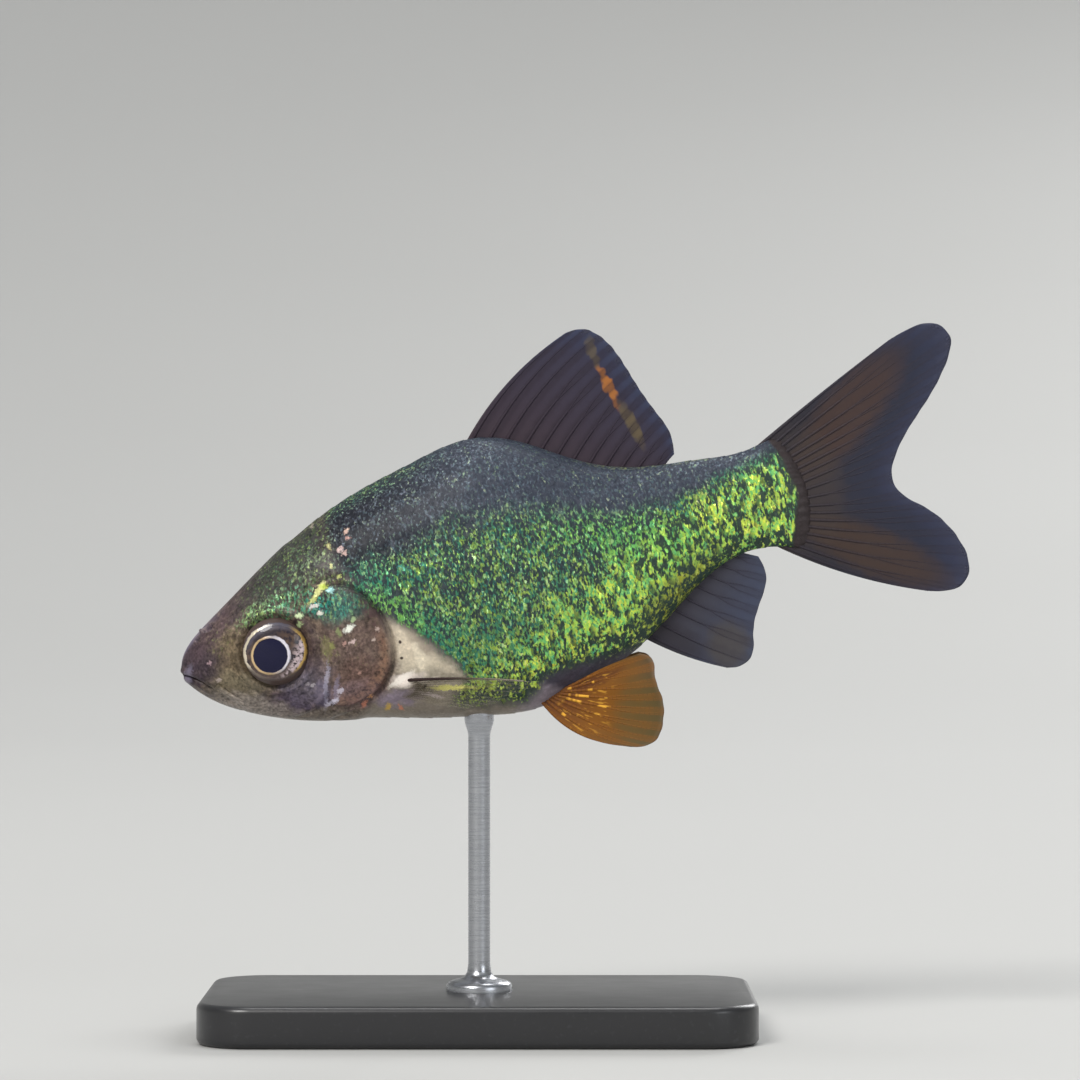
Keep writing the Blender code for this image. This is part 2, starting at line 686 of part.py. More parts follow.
def build():
    for old in list(bpy.data.objects):
        bpy.data.objects.remove(old)
    flesh = material("head_skin", (0.33, 0.27, 0.24), 0.4)
    scaled = material("scaled_skin", (0.16, 0.34, 0.12), 0.35, 0.3)
    dusky = material("dusky_fin", (0.1, 0.1, 0.15), 0.5)
    orange = material("orange_fin", (0.5, 0.22, 0.05), 0.45)
    clear = material("clear_fin", (0.45, 0.43, 0.38), 0.4)
    iris = material("eye", (0.3, 0.27, 0.25), 0.15, 0.3)
    plate = material("stand_plate", (0.03, 0.03, 0.035), 0.3)
    steel = material("stand_steel", (0.6, 0.6, 0.6), 0.3, 1.0)
    head_and_jaw(flesh)
    trunk_and_stem(flesh, scaled)
    fin("dorsal_fin", DORSAL, dusky)
    fin("anal_fin", ANAL, dusky)
    fin("caudal_fin_upper", CAUDAL, dusky, 0.0, CAUDAL_PARTING)
    fin("caudal_fin_lower", CAUDAL, dusky, CAUDAL_PARTING, 1.0)
    for side, name in ((-1, "left"), (1, "right")):
        eye_parts(side, 0.0, iris, "eye_" + name)
        fin("pelvic_fin_" + name, PELVIC, orange, side=side)
        fin("pectoral_fin_" + name, PECTORAL, clear, side=side)
    stand_base(plate)
    stand_rod(steel)


build()
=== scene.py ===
import math

import bmesh
import bpy
import numpy as np
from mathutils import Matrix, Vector


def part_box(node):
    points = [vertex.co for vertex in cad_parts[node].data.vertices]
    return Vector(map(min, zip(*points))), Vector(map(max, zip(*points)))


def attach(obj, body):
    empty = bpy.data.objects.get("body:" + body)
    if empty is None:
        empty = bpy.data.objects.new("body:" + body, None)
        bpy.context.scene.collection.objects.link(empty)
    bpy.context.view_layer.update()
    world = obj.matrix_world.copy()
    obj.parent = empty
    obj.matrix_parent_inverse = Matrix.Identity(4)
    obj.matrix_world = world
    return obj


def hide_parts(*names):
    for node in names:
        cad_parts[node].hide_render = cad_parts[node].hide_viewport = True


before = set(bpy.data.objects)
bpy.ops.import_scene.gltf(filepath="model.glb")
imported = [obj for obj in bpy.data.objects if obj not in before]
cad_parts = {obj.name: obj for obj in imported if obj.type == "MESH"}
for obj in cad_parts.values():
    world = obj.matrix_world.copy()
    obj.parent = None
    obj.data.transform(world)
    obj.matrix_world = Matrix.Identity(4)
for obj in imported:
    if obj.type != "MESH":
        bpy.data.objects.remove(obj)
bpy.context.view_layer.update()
print("frame: ", len(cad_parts), "nodes")

mm = 0.001

# The fish is drawn in its own frame, in millimetres: x runs back from the snout, z up, y to its right
pose = {
    "noseDown": 15.0,       # degrees
    "height": 27.0,         # of the fish frame's origin over the floor
    "rodAt": 19.8,          # where the rod meets the belly, behind the snout
}


# Curves and the body's form

def naturalSpline(knots, values):
    knots = np.asarray(knots, float)
    values = np.asarray(values, float)
    steps = np.diff(knots)
    count = len(knots)
    system = np.eye(count)
    right = np.zeros_like(values)
    for i in range(1, count - 1):
        system[i, i - 1:i + 2] = steps[i - 1], 2 * (steps[i - 1] + steps[i]), steps[i]
        rise = (values[i + 1] - values[i]) / steps[i]
        right[i] = 6 * (rise - (values[i] - values[i - 1]) / steps[i - 1])
    bend = np.linalg.solve(system, right)

    def at(where):
        where = np.asarray(where, float)
        i = np.clip(np.searchsorted(knots, where) - 1, 0, count - 2)
        h = steps[i][..., None]
        a = (knots[i + 1] - where)[..., None] / h
        b = 1 - a
        curved = ((a**3 - a) * bend[i] + (b**3 - b) * bend[i + 1]) * h * h / 6
        return a * values[i] + b * values[i + 1] + curved

    return at


def along(points):
    points = np.asarray(points, float)
    lengths = np.linalg.norm(np.diff(points, axis=0), axis=1)
    return naturalSpline(np.concatenate([[0], np.cumsum(lengths)]) / lengths.sum(), points)


def ease(value, low, high):
    t = np.clip((value - low) / (high - low), 0, 1)
    return t * t * (3 - 2 * t)


def hump(value, centre, width):
    return np.exp(-((value - centre) / width) ** 2)


body = {
    "snout": -0.3,
    "end": 46.3,
    "widestLevel": 0.48,    # share of the depth, from the belly up, where the body is broadest
    # distance behind the snout, back, belly, half breadth, ridge of the back, ridge of the belly
    "stations": (
        (-0.3, -0.9, -0.9, 0.0, 1.00, 1.00), (0.4, 0.75, -2.35, 1.25, 1.00, 1.00),
        (2.0, 2.0, -3.85, 2.3, 1.00, 0.95), (4.0, 3.2, -5.05, 2.95, 1.00, 0.90),
        (7.0, 5.0, -6.35, 3.45, 1.00, 0.88), (10.0, 6.65, -7.2, 3.95, 1.05, 0.88),
        (13.0, 7.95, -7.85, 4.3, 1.10, 0.88), (16.0, 8.9, -8.7, 4.5, 1.15, 0.88),
        (20.0, 9.8, -9.6, 4.6, 1.20, 0.90), (24.4, 10.35, -10.1, 4.4, 1.20, 0.95),
        (28.0, 9.15, -9.3, 3.9, 1.15, 1.05), (32.0, 6.6, -7.95, 3.2, 1.10, 1.10),
        (36.0, 5.15, -5.6, 2.4, 1.05, 1.10), (40.0, 4.6, -3.45, 1.75, 1.00, 1.05),
        (43.0, 4.3, -3.1, 1.4, 1.00, 1.00), (46.3, 4.85, -4.0, 0.95, 0.95, 0.95),
    ),
    "stemTaper": (44.8, 2.5),   # where the stem starts to thin into the tail fin, and over what length
    "stemRound": 0.12,          # share of its depth that it loses there
    "stemArc": 1.0,             # how far its end is drawn in above and below
}
stations = np.array(body["stations"])
bodyAt = naturalSpline(np.sqrt(stations[:, 0] - body["snout"]), stations[:, 1:])


def section(x):
    x = np.asarray(x, float)
    behind = np.clip(x, body["snout"], body["end"]) - body["snout"]
    back, belly, half, backRidge, bellyRidge = np.moveaxis(bodyAt(np.sqrt(behind)), -1, 0)
    start, length = body["stemTaper"]
    taper = np.clip((x - start) / length, 0, 1)
    middle = belly + body["widestLevel"] * (back - belly)
    less = 1 - body["stemRound"] * taper**2
    half = half * np.sqrt(1 - taper**1.6)
    return middle, (back - middle) * less, (middle - belly) * less, half, backRidge, bellyRidge


# Angle 0 is the back, and it grows over the right side
def bodyPoint(x, angle):
    middle, up, down, half, backRidge, bellyRidge = section(x)
    high, across = np.cos(angle), np.sin(angle)
    y = half * np.sign(across) * np.abs(across) ** np.where(high > 0, backRidge, bellyRidge)
    z = middle + np.where(high > 0, up, down) * high
    return np.stack(np.broadcast_arrays(x, y, z), -1)


def bodyNormal(x, angle):
    step = 0.02
    room = np.minimum(step, (np.asarray(x, float) - body["snout"]) / 2)
    lengthwise = bodyPoint(x + step, angle) - bodyPoint(x - room, angle)
    around = bodyPoint(x, angle + step) - bodyPoint(x, angle - step)
    normal = np.cross(lengthwise, around)
    return normal / np.maximum(np.linalg.norm(normal, axis=-1, keepdims=True), 1e-9)


def sideBreadth(x, z):
    middle, up, down, half, backRidge, bellyRidge = section(x)
    level = (z - middle) / np.where(z > middle, up, down)
    return half * np.maximum(1 - level**2, 0) ** (np.where(z > middle, backRidge, bellyRidge) / 2)


def sidePoint(x, z, side, out=0.0):
    step = 0.05
    slopeX = (sideBreadth(x + step, z) - sideBreadth(x - step, z)) / (2 * step)
    slopeZ = (sideBreadth(x, z + step) - sideBreadth(x, z - step)) / (2 * step)
    normal = np.array((-slopeX, 1.0, -slopeZ))
    point = np.array((x, sideBreadth(x, z), z)) + normal / np.linalg.norm(normal) * out
    return point * (1, side, 1)


def turned(points):
    points = np.asarray(points, float)
    tip = math.radians(pose["noseDown"])
    x, y, z = np.moveaxis(points, -1, 0)
    return np.stack([x * math.cos(tip) - z * math.sin(tip), y, x * math.sin(tip) + z * math.cos(tip)], -1)


shift = np.array((-turned(bodyPoint(pose["rodAt"], math.pi))[0], 0, pose["height"]))


def toWorld(points):
    return (turned(points) + shift) * mm


# Node trees, with sums written as Python

def tint(*shades):
    # red, green and blue of 255 as a linear colour
    shares = [shade / 255 for shade in shades]
    linear = [share / 12.92 if share < 0.04045 else ((share + 0.055) / 1.055) ** 2.4 for share in shares]
    return linear + [1.0]


class Wire:
    # a socket that takes part in sums
    def __init__(self, graph, socket):
        self.graph = graph
        self.socket = socket

    def math(self, operation, *others):
        return self.graph.node("ShaderNodeMath", {"operation": operation}, dict(enumerate((self, *others))))

    def __add__(self, other):
        return self.math("ADD", other)

    def __mul__(self, other):
        return self.math("MULTIPLY", other)

    def __sub__(self, other):
        return self.math("SUBTRACT", other)

    def __truediv__(self, other):
        return self.math("DIVIDE", other)

    def __rsub__(self, other):
        return self.graph.node("ShaderNodeMath", {"operation": "SUBTRACT"}, {0: other, 1: self})

    __radd__ = __add__
    __rmul__ = __mul__

    def between(self, low, high, most=1.0):
        # 0 at low and the most at high, smoothly
        settings = {"interpolation_type": "SMOOTHSTEP"}
        inputs = {"Value": self, "From Min": low, "From Max": high, "To Max": most}
        return self.graph.node("ShaderNodeMapRange", settings, inputs)


class Graph:
    # one node tree
    def __init__(self, tree):
        self.tree = tree

    def node(self, kind, settings=None, inputs=None, output=0):
        made = self.tree.nodes.new(kind)
        for name, value in (settings or {}).items():
            if name == "stops":
                self.setStops(made.color_ramp, value)
            else:
                setattr(made, name, value)
        for key, value in (inputs or {}).items():
            for one in value if isinstance(value, list) else [value]:
                if isinstance(one, Wire):
                    self.tree.links.new(one.socket, made.inputs[key])
                else:
                    made.inputs[key].default_value = tint(*one) if made.inputs[key].type == "RGBA" else one
        return Wire(self, made.outputs[output])

    def setStops(self, ramp, stops):
        while len(ramp.elements) < len(stops):
            ramp.elements.new(1.0)
        for element, (where, colour) in zip(ramp.elements, stops):
            element.position = where
            element.color = tint(*colour)

    def mix(self, share, first, second, blend="MIX"):
        settings = {"data_type": "RGBA", "blend_type": blend}
        return self.node("ShaderNodeMix", settings, {0: share, 6: first, 7: second}, 2)

    def vector(self, operation, first, second=None, output=0):
        inputs = {0: first} if second is None else {0: first, 1: second}
        return self.node("ShaderNodeVectorMath", {"operation": operation}, inputs, output)

    def scaled(self, vector, share):
        return self.node("ShaderNodeVectorMath", {"operation": "SCALE"}, {0: vector, 3: share})

    def split(self, whole, kind="XYZ"):
        parts = self.node("ShaderNodeSeparate" + kind, None, {0: whole})
        return [Wire(self, socket) for socket in parts.socket.node.outputs]

    def join(self, *parts):
        return self.node("ShaderNodeCombineXYZ", None, dict(enumerate(parts)))

    def swing(self, colour):
        # a colour as a vector about zero
        return self.join(*[part - 0.5 for part in self.split(colour, "Color")])

    def attribute(self, name):
        return self.split(self.node("ShaderNodeAttribute", {"attribute_name": name}, None, "Vector"))

    def turn(self, point, degrees):
        # a point turned in the x and z plane
        x, y, z = self.split(point)
        across, up = math.cos(math.radians(degrees)), math.sin(math.radians(degrees))
        return self.join(x * across + z * up, y, z * across - x * up)

    def ramp(self, value, stops):
        return self.node("ShaderNodeValToRGB", {"stops": stops}, {"Fac": value})

    def noise(self, point, size, detail=2.0, output="Fac"):
        inputs = {"Vector": point, "Scale": 1 / size, "Detail": detail}
        return self.node("ShaderNodeTexNoise", None, inputs, output)

    def cells(self, point, size, tall=1.0):
        # cells of a size in the point's units, taller than they are long
        stretched = self.vector("MULTIPLY", point, (1 / size, 1 / size, 1 / (size * tall)))
        return self.node("ShaderNodeTexVoronoi", None, {"Vector": stretched, "Scale": 1.0}, "Color")

    def bump(self, height, depth, normal=None):
        inputs = {"Height": height, "Distance": depth * mm, "Strength": 1.0}
        return self.node("ShaderNodeBump", None, {**inputs, "Normal": normal} if normal else inputs)


# The place on the fish in millimetres, in its own frame, from Object coordinates
def fishPlace(graph):
    where = graph.node("ShaderNodeTexCoord", None, None, "Object")
    tip = math.radians(pose["noseDown"])
    inputs = {"Vector": where, "Location": tuple(shift * mm), "Rotation": (0, -tip, 0), "Scale": (mm,) * 3}
    return graph.node("ShaderNodeMapping", {"vector_type": "TEXTURE"}, inputs)


def newFinish(name, paint, fixed=None):
    made = bpy.data.materials.new(name)
    made.use_nodes = True
    shader = made.node_tree.nodes["Principled BSDF"]
    for key, value in {**(fixed or {}), **paint(Graph(made.node_tree))}.items():
        if isinstance(value, Wire):
            made.node_tree.links.new(value.socket, shader.inputs[key])
        else:
            shader.inputs[key].default_value = value
    return made


# Soft-edged oval marks: x, z, half length, half height, turn, colour, strength
def addMarks(graph, colour, place, marks, soft=0.45):
    for x, z, length, height, turn, shade, strength in marks:
        across, up = math.cos(math.radians(turn)), math.sin(math.radians(turn))
        away = graph.vector("SUBTRACT", place, (x, 0, z))
        u, v = [
            graph.vector("DOT_PRODUCT", away, axis, "Value")
            for axis in ((across / length, 0, up / length), (-up / height, 0, across / height))
        ]
        share = (u * u + v * v).between((1 + soft) ** 2, (1 - soft) ** 2, strength)
        colour = graph.mix(share, colour, shade)
    return colour


# Meshes

def setAttribute(mesh, name, values, kind="FLOAT_VECTOR"):
    made = mesh.attributes.new(name, kind, "POINT")
    made.data.foreach_set("value" if kind == "FLOAT" else "vector", np.asarray(values, np.float32).ravel())


def newMesh(name, points, faces, edges=()):
    mesh = bpy.data.meshes.new(name)
    mesh.from_pydata(np.asarray(points).tolist(), list(edges), faces)
    return mesh


def newObject(name, mesh, finish=None):
    made = bpy.data.objects.new(name, mesh)
    bpy.context.scene.collection.objects.link(made)
    if finish:
        mesh.materials.clear()
        mesh.materials.append(finish)
    return made


def closeUp(mesh):
    # merges what meets, turns the faces out and smooths the shading
    shape = bmesh.new()
    shape.from_mesh(mesh)
    bmesh.ops.remove_doubles(shape, verts=shape.verts, dist=1e-7)
    bmesh.ops.recalc_face_normals(shape, faces=shape.faces)
    shape.to_mesh(mesh)
    shape.free()
    mesh.shade_smooth()


def ringFaces(rings, sides, first=0):
    faces = []
    for a in range(first, first + (rings - 1) * sides, sides):
        for j in range(sides):
            b = (j + 1) % sides
            faces.append((a + j, a + b, a + sides + b, a + sides + j))
    return faces


def fanFaces(rings, sides):
    # rings that open from a first point
    return [(0, 1 + (j + 1) % sides, 1 + j) for j in range(sides)] + ringFaces(rings, sides, 1)


def tubeFaces(rings, sides):
    # rings with both ends closed
    return ringFaces(rings, sides) + [tuple(range(sides)), tuple(range((rings - 1) * sides, rings * sides))]


def sheetFaces(columns, rows):
    # both sides and the rim of a sheet with two layers of points
    count, faces = columns * rows, []
    for i in range(columns - 1):
        for j in range(rows - 1):
            a, b = i * rows + j, (i + 1) * rows + j
            faces += [(a, b, b + 1, a + 1), (count + a, count + a + 1, count + b + 1, count + b)]
    rim = [i * rows for i in range(columns)] + [count - rows + j for j in range(1, rows)]
    rim += [i * rows + rows - 1 for i in reversed(range(columns - 1))] + list(reversed(range(1, rows - 1)))
    return faces + [(b, a, count + a, count + b) for a, b in zip(rim, rim[1:] + rim[:1])]


def circle(count):
    turn = np.linspace(0, 2 * math.pi, count, endpoint=False)
    return np.stack([np.cos(turn), np.sin(turn)], 1)


def tubeShape(path, radii, sides):
    points = []
    for i, centre in enumerate(path):
        ahead = Vector(path[min(i + 1, len(path) - 1)] - path[max(i - 1, 0)])
        turn = ahead.to_track_quat("Z", "Y")
        points += [centre + np.array(turn @ Vector((x, y, 0))) * radii[i] for x, y in circle(sides)]
    return points, tubeFaces(len(path), sides)


# Geometry Nodes trees, run on a new object and turned into a plain mesh
def geometryTree(name, inputs):
    tree = bpy.data.node_groups.new(name, "GeometryNodeTree")
    tree.interface.new_socket(name="Geometry", in_out="INPUT", socket_type="NodeSocketGeometry")
    for label, kind in inputs:
        tree.interface.new_socket(name=label, in_out="INPUT", socket_type="NodeSocket" + kind)
    tree.interface.new_socket(name="Geometry", in_out="OUTPUT", socket_type="NodeSocketGeometry")
    graph = Graph(tree)
    start = tree.nodes.new("NodeGroupInput")
    given = {socket.name: Wire(graph, socket) for socket in start.outputs if socket.name}
    return tree, graph, given


def endTree(graph, geometry, finish):
    real = graph.node("GeometryNodeRealizeInstances", None, {"Geometry": geometry})
    smooth = graph.node("GeometryNodeSetShadeSmooth", None, {"Geometry": real})
    done = graph.node("GeometryNodeSetMaterial", None, {"Geometry": smooth, "Material": finish})
    end = graph.tree.nodes.new("NodeGroupOutput")
    graph.tree.links.new(done.socket, end.inputs[0])


def grown(name, mesh, tree, values):
    made = bpy.data.objects.new(name, mesh)
    step = made.modifiers.new(tree.name, "NODES")
    step.node_group = tree
    for item in tree.interface.items_tree:
        if item.in_out == "INPUT" and item.name in values:
            step[item.identifier] = values[item.name]
    bpy.context.scene.collection.objects.link(made)
    bpy.context.view_layer.update()
    result = bpy.data.meshes.new_from_object(made.evaluated_get(bpy.context.evaluated_depsgraph_get()))
    made.modifiers.clear()
    made.data = result
    return made


def addPiece(piece, slot, *nodes):
    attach(piece, "root")
    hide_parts(*nodes)
    print("piece: ", piece.name, len(piece.data.polygons), "faces")


# Colours of skin and scales

coat = {
    "grain": 0.12,              # size of the glitter's specks, mm
    "tall": 1.9,                # how much taller than long they are
    "lean": -5.0,               # degrees that the specks' tops lean to the head
    "tilt": 0.5,                # how far a speck is turned from the surface
    # where the glitter starts and where it turns yellow, by level, and how low it reaches, by distance
    "from": (
        (-1.0, 17.0), (-0.8, 18.5), (-0.68, 20.0), (-0.52, 19.0), (-0.22, 16.8), (-0.1, 15.7),
        (0.06, 14.5), (0.2, 13.8), (0.5, 12.7), (0.75, 12.8), (1.0, 13.2),
    ),
    "yellowFrom": (
        (-1.0, 17.0), (-0.8, 18.5), (-0.66, 20.5), (-0.57, 22.5), (-0.35, 26.5), (-0.11, 30.5),
        (0.05, 33.5), (0.3, 39.0), (0.6, 43.0), (1.0, 45.0),
    ),
    "downTo": (
        (14.0, -0.62), (17.0, -0.9), (23.5, -0.92), (25.5, -0.8), (28.0, -0.82), (30.5, -0.88),
        (32.5, -0.98), (34.0, -1.15), (41.0, -1.3),
    ),
    # where the breast starts behind the gill cover, and where the stem turns into the tail fin, by level
    "breastFrom": (
        (-1.0, 11.0), (-0.85, 12.6), (-0.7, 14.2), (-0.5, 15.0), (-0.2, 15.3), (0.1, 14.9), (0.3, 14.0),
        (0.45, 12.6), (0.7, 11.5), (1.0, 10.5),
    ),
    "to": ((-1.0, 45.2), (-0.6, 45.8), (0.0, 46.4), (0.6, 46.3), (1.0, 45.8)),
    "back": (
        (0.0, (60, 64, 78)), (0.4, (74, 80, 94)), (0.6, (78, 94, 104)), (0.75, (90, 98, 110)),
        (0.88, (96, 114, 98)), (1.0, (172, 180, 160)),
    ),
    "flank": (
        (0.0, (52, 104, 112)), (0.3, (66, 134, 104)), (0.55, (104, 150, 90)),
        (0.8, (156, 186, 80)), (1.0, (188, 218, 164)),
    ),
    "rear": (
        (0.0, (78, 162, 128)), (0.3, (132, 208, 116)), (0.55, (186, 230, 98)),
        (0.85, (232, 244, 94)), (1.0, (244, 250, 172)),
    ),
    # patches of another hue: x, z, half length, half height, turn, colour and strength
    "patches": (
        (14.7, 2.2, 1.8, 1.3, -45, (40, 140, 120), 0.6), (17.4, -2.4, 2.0, 1.6, -55, (52, 148, 112), 0.45),
        (15.9, -0.3, 1.9, 0.7, -52, (142, 208, 86), 0.55),
        (43.6, 3.6, 3.2, 0.8, 4, (44, 146, 116), 0.7), (33.6, 0.4, 4.6, 1.7, -30, (122, 206, 98), 0.45),
        # the patch under the breast fin, at 20.8, is made brighter to make up for the shade there: partly
        # the belly's yellow, partly painted light
        (20.8, -7.9, 3.4, 0.8, -5, (200, 216, 84), 0.7), (36.0, -4.9, 3.4, 1.2, 32, (158, 152, 54), 0.75),
    ),
    "backDark": (54, 59, 71),
    "backFront": (32, 34, 42),
    "flankDark": (48, 59, 62),
    "rearDark": (52, 68, 60),
    "belly": (148, 138, 126),
    "ventSlate": (70, 66, 78),
    "finRoot": (57, 50, 51),
}

# Soft oval marks of the head and breast, listed as the patches are
headPaint = {
    "dark": (60, 49, 46),
    "light": (122, 106, 90),
    "marks": (
        (3.2, -0.8, 1.6, 1.6, 0, (112, 98, 74), 0.6),         # before the eye
        (3.6, -2.8, 1.8, 0.9, -25, (116, 108, 88), 0.6),
        (0.9, -0.3, 1.7, 1.5, 0, (54, 44, 58), 0.85),         # snout
        (5.6, 3.5, 5.2, 0.6, 37, (84, 68, 72), 0.8),          # forehead
        (9.6, 4.7, 4.0, 1.8, 33, (52, 57, 54), 0.85),         # nape
        (16.4, 6.4, 4.0, 2.4, 30, (58, 60, 68), 0.9),
        (13.4, 4.2, 1.2, 2.6, 10, (66, 58, 56), 0.8),
        (7.1, -5.0, 1.7, 0.8, -15, (72, 58, 80), 0.75),       # cheek
        (8.6, -3.7, 1.6, 1.4, 0, (104, 98, 112), 0.7),
        (9.3, -1.2, 0.6, 1.9, 0, (74, 60, 62), 0.7),
        (4.4, -4.6, 2.6, 0.7, -28, (158, 148, 140), 0.75),    # chin
        (8.8, -6.6, 2.6, 0.5, -8, (132, 122, 112), 0.75),
        (12.3, -2.6, 1.9, 2.8, 0, (106, 88, 82), 0.8),         # gill cover
        (12.6, -4.4, 1.4, 1.0, -20, (104, 78, 70), 0.6),
        (11.6, -5.5, 1.6, 0.7, -5, (128, 106, 110), 0.65),
        (12.2, 1.0, 1.5, 1.0, -8, (48, 92, 88), 0.8),
        (11.2, 1.7, 0.45, 0.7, 30, (52, 34, 44), 0.7),
    ),
    "glints": (
        (9.8, -4.4, 0.13, 1.4, -20, (196, 192, 212), 0.55),   # edge of the cheek
        (9.4, -4.9, 0.5, 0.9, -20, (122, 114, 138), 0.4),
        (10.4, -4.9, 0.14, 0.9, -26, (170, 162, 190), 0.35),
        (12.5, -0.8, 0.36, 0.19, 18, (246, 248, 236), 0.95),
        (12.95, -0.3, 0.2, 0.14, 30, (176, 200, 150), 0.7),
        (11.7, -0.9, 0.14, 0.3, 0, (150, 170, 110), 0.5),
        (11.1, 2.45, 0.6, 0.15, 44, (222, 222, 150), 0.85),
        (10.5, 1.85, 0.4, 0.13, 34, (196, 198, 120), 0.7),
        (10.6, -1.75, 0.3, 0.6, -8, (150, 150, 96), 0.32), (11.0, -1.7, 0.16, 0.24, 0, (170, 176, 100), 0.4),
        (10.8, 0.8, 0.2, 0.16, 20, (240, 236, 222), 0.85),
        (9.3, 1.0, 0.22, 0.18, 0, (206, 226, 176), 0.8),
        (9.1, 0.35, 0.18, 0.16, 0, (196, 220, 160), 0.7),
        (9.9, -5.65, 0.42, 0.16, 10, (226, 220, 236), 0.75),
        (10.7, -5.0, 0.24, 0.13, 30, (220, 214, 230), 0.65),
        (14.05, 6.0, 0.16, 0.16, 0, (222, 188, 172), 0.8), (14.1, 5.55, 0.14, 0.12, 0, (216, 170, 160), 0.7),
        (13.3, 4.85, 0.2, 0.13, 20, (226, 196, 190), 0.8),
        (13.6, 4.55, 0.18, 0.14, -30, (224, 190, 182), 0.75),
        (12.35, 3.9, 0.1, 0.18, 0, (204, 204, 140), 0.8),
        (0.0, -1.4, 0.25, 0.9, -30, (140, 134, 156), 0.5),
        (12.5, -1.8, 0.19, 0.13, 10, (214, 190, 186), 0.8),
        (14.0, -2.1, 0.13, 0.11, 0, (206, 186, 176), 0.7),
        (14.5, -1.4, 0.13, 0.13, 0, (196, 176, 166), 0.7), (11.9, -1.8, 0.15, 0.10, 0, (190, 150, 140), 0.7),
        (12.4, -4.1, 0.13, 0.11, 0, (190, 150, 136), 0.6), (8.9, -4.1, 0.17, 0.11, 0, (200, 192, 196), 0.6),
        (8.5, -3.9, 0.11, 0.10, 0, (186, 178, 186), 0.5), (2.4, -2.0, 0.17, 0.13, 0, (196, 180, 176), 0.5),
        (2.0, -0.6, 0.13, 0.11, 0, (190, 160, 166), 0.6), (10.5, 1.4, 0.31, 0.10, 10, (230, 220, 215), 0.8),
        (11.9, 2.2, 0.22, 0.17, 0, (170, 220, 220), 0.8), (11.5, 2.6, 0.25, 0.18, 0, (196, 214, 90), 0.8),
        (12.6, 5.3, 0.11, 0.28, 20, (176, 172, 116), 0.7), (11.7, 7.1, 0.11, 0.21, 0, (172, 162, 144), 0.6),
        (12.8, 3.0, 0.14, 0.13, 0, (190, 196, 120), 0.8), (12.7, -6.0, 0.14, 0.11, 0, (230, 170, 120), 0.7),
        (13.7, -7.04, 0.14, 0.24, -28, (220, 182, 86), 0.8),
        (14.57, -7.33, 0.12, 0.2, 30, (220, 142, 110), 0.8),
        (12.1, -6.35, 0.24, 0.12, 30, (214, 138, 110), 0.7),
        (15.2, -5.3, 0.9, 0.16, 18, (240, 232, 222), 0.8),
        (10.0, -5.6, 0.47, 0.11, 25, (214, 208, 226), 0.6),
        (16.8, -6.9, 0.9, 0.12, -28, (220, 204, 206), 0.7),
        # the yellow strip under the breast fin's ray, made brighter against the shade of the fin and the
        # belly: partly its own yellow, partly painted light
        (18.5, -6.85, 1.3, 0.17, -15, (250, 244, 136), 0.9),
    ),
    # sparkling patches: the colour of the specks, and how many there are
    "sheen": (
        (10.2, 5.8, 5.2, 1.4, 33, (106, 130, 86), 0.6),
        (10.4, 3.8, 3.0, 1.4, 20, (64, 114, 88), 0.65),
        (7.0, 2.0, 1.9, 0.6, 14, (116, 148, 104), 0.8),
        (8.9, 1.8, 1.5, 0.9, 22, (60, 128, 98), 0.85),
        (12.2, 1.1, 1.7, 1.0, -6, (50, 150, 136), 0.9),
        (12.3, 3.8, 1.8, 1.4, 0, (130, 132, 84), 0.4),
        (3.3, 0.5, 1.1, 0.9, 0, (118, 116, 66), 0.55),
        (10.6, -1.8, 0.5, 0.8, 0, (140, 140, 90), 0.5),
        (11.9, -2.4, 2.0, 2.2, 0, (130, 106, 84), 0.4),
    ),
}

flankMarks = {
    "pale": (
        (16.1, -3.2, 0.9, 2.8, 30, (214, 200, 178), 0.95),
        (17.6, -5.2, 2.0, 0.8, -25, (204, 192, 170), 0.9),
        (17.0, -2.6, 0.5, 1.3, 20, (150, 138, 124), 0.6), (17.9, -5.9, 1.6, 0.5, -30, (150, 142, 128), 0.6),
        (16.9, -4.3, 0.4, 0.9, 5, (236, 224, 200), 0.7),
        (15.4, -5.5, 1.1, 0.35, -6, (236, 224, 214), 0.9),
        (14.3, -6.5, 1.6, 0.5, -10, (150, 136, 154), 0.8),
        (24.2, -9.2, 1.3, 0.8, 0, (158, 148, 158), 0.7),
        (14.9, 0.7, 1.7, 1.0, -48, (84, 76, 80), 0.9),
    ),
    "dots": (
        (15.8, -2.7, 0.1, 0.12, 0, (52, 38, 38), 0.95), (15.6, -3.85, 0.11, 0.1, 0, (52, 38, 38), 0.95),
        (16.6, -6.3, 0.22, 0.1, 25, (48, 36, 40), 0.9), (16.9, -5.85, 0.9, 0.1, 2, (236, 222, 206), 0.6),
    ),
}


# Skin, one closed surface from the lips to the tail fin

skin = {
    "around": 320,
    "headStep": 0.115,          # between rings on the head
    "flankStep": 0.26,
    "headRings": 15.6,          # where the head's fine rings end
    "stemRings": 14,            # where the stem thins into the tail fin
    "folds": 0.03,              # height of the fine folds there
    "sink": (0.03, 0.13),       # how far it lies inside the solids, on the head and under the scales
    # where the scales start, by level from belly (-1) to back (1)
    "scalesFrom": (
        (-1.0, 11.5), (-0.9, 12.6), (-0.8, 14.6), (-0.72, 17.4), (-0.6, 18.3), (-0.4, 17.6), (-0.15, 16.6),
        (0.1, 15.6), (0.25, 14.5), (0.4, 13.4), (0.7, 11.0), (1.0, 9.6),
    ),
}

eye = {
    "x": 6.89, "z": -1.06, "radius": 2.45, "back": 1.5, "cornea": 0.95, "sink": 0.4,
    "bowl": ((2.24, 2.4, 0.5), (2.42, 2.78, 0.25)),     # the orbit's steps: from, to and rise
    "rim": ((2.95, 0.2, 0.17),),        # the fold round the orbit: radius, width and height
    "pupil": (-0.38, -0.18),            # place of the pupil's centre from the eye's
}

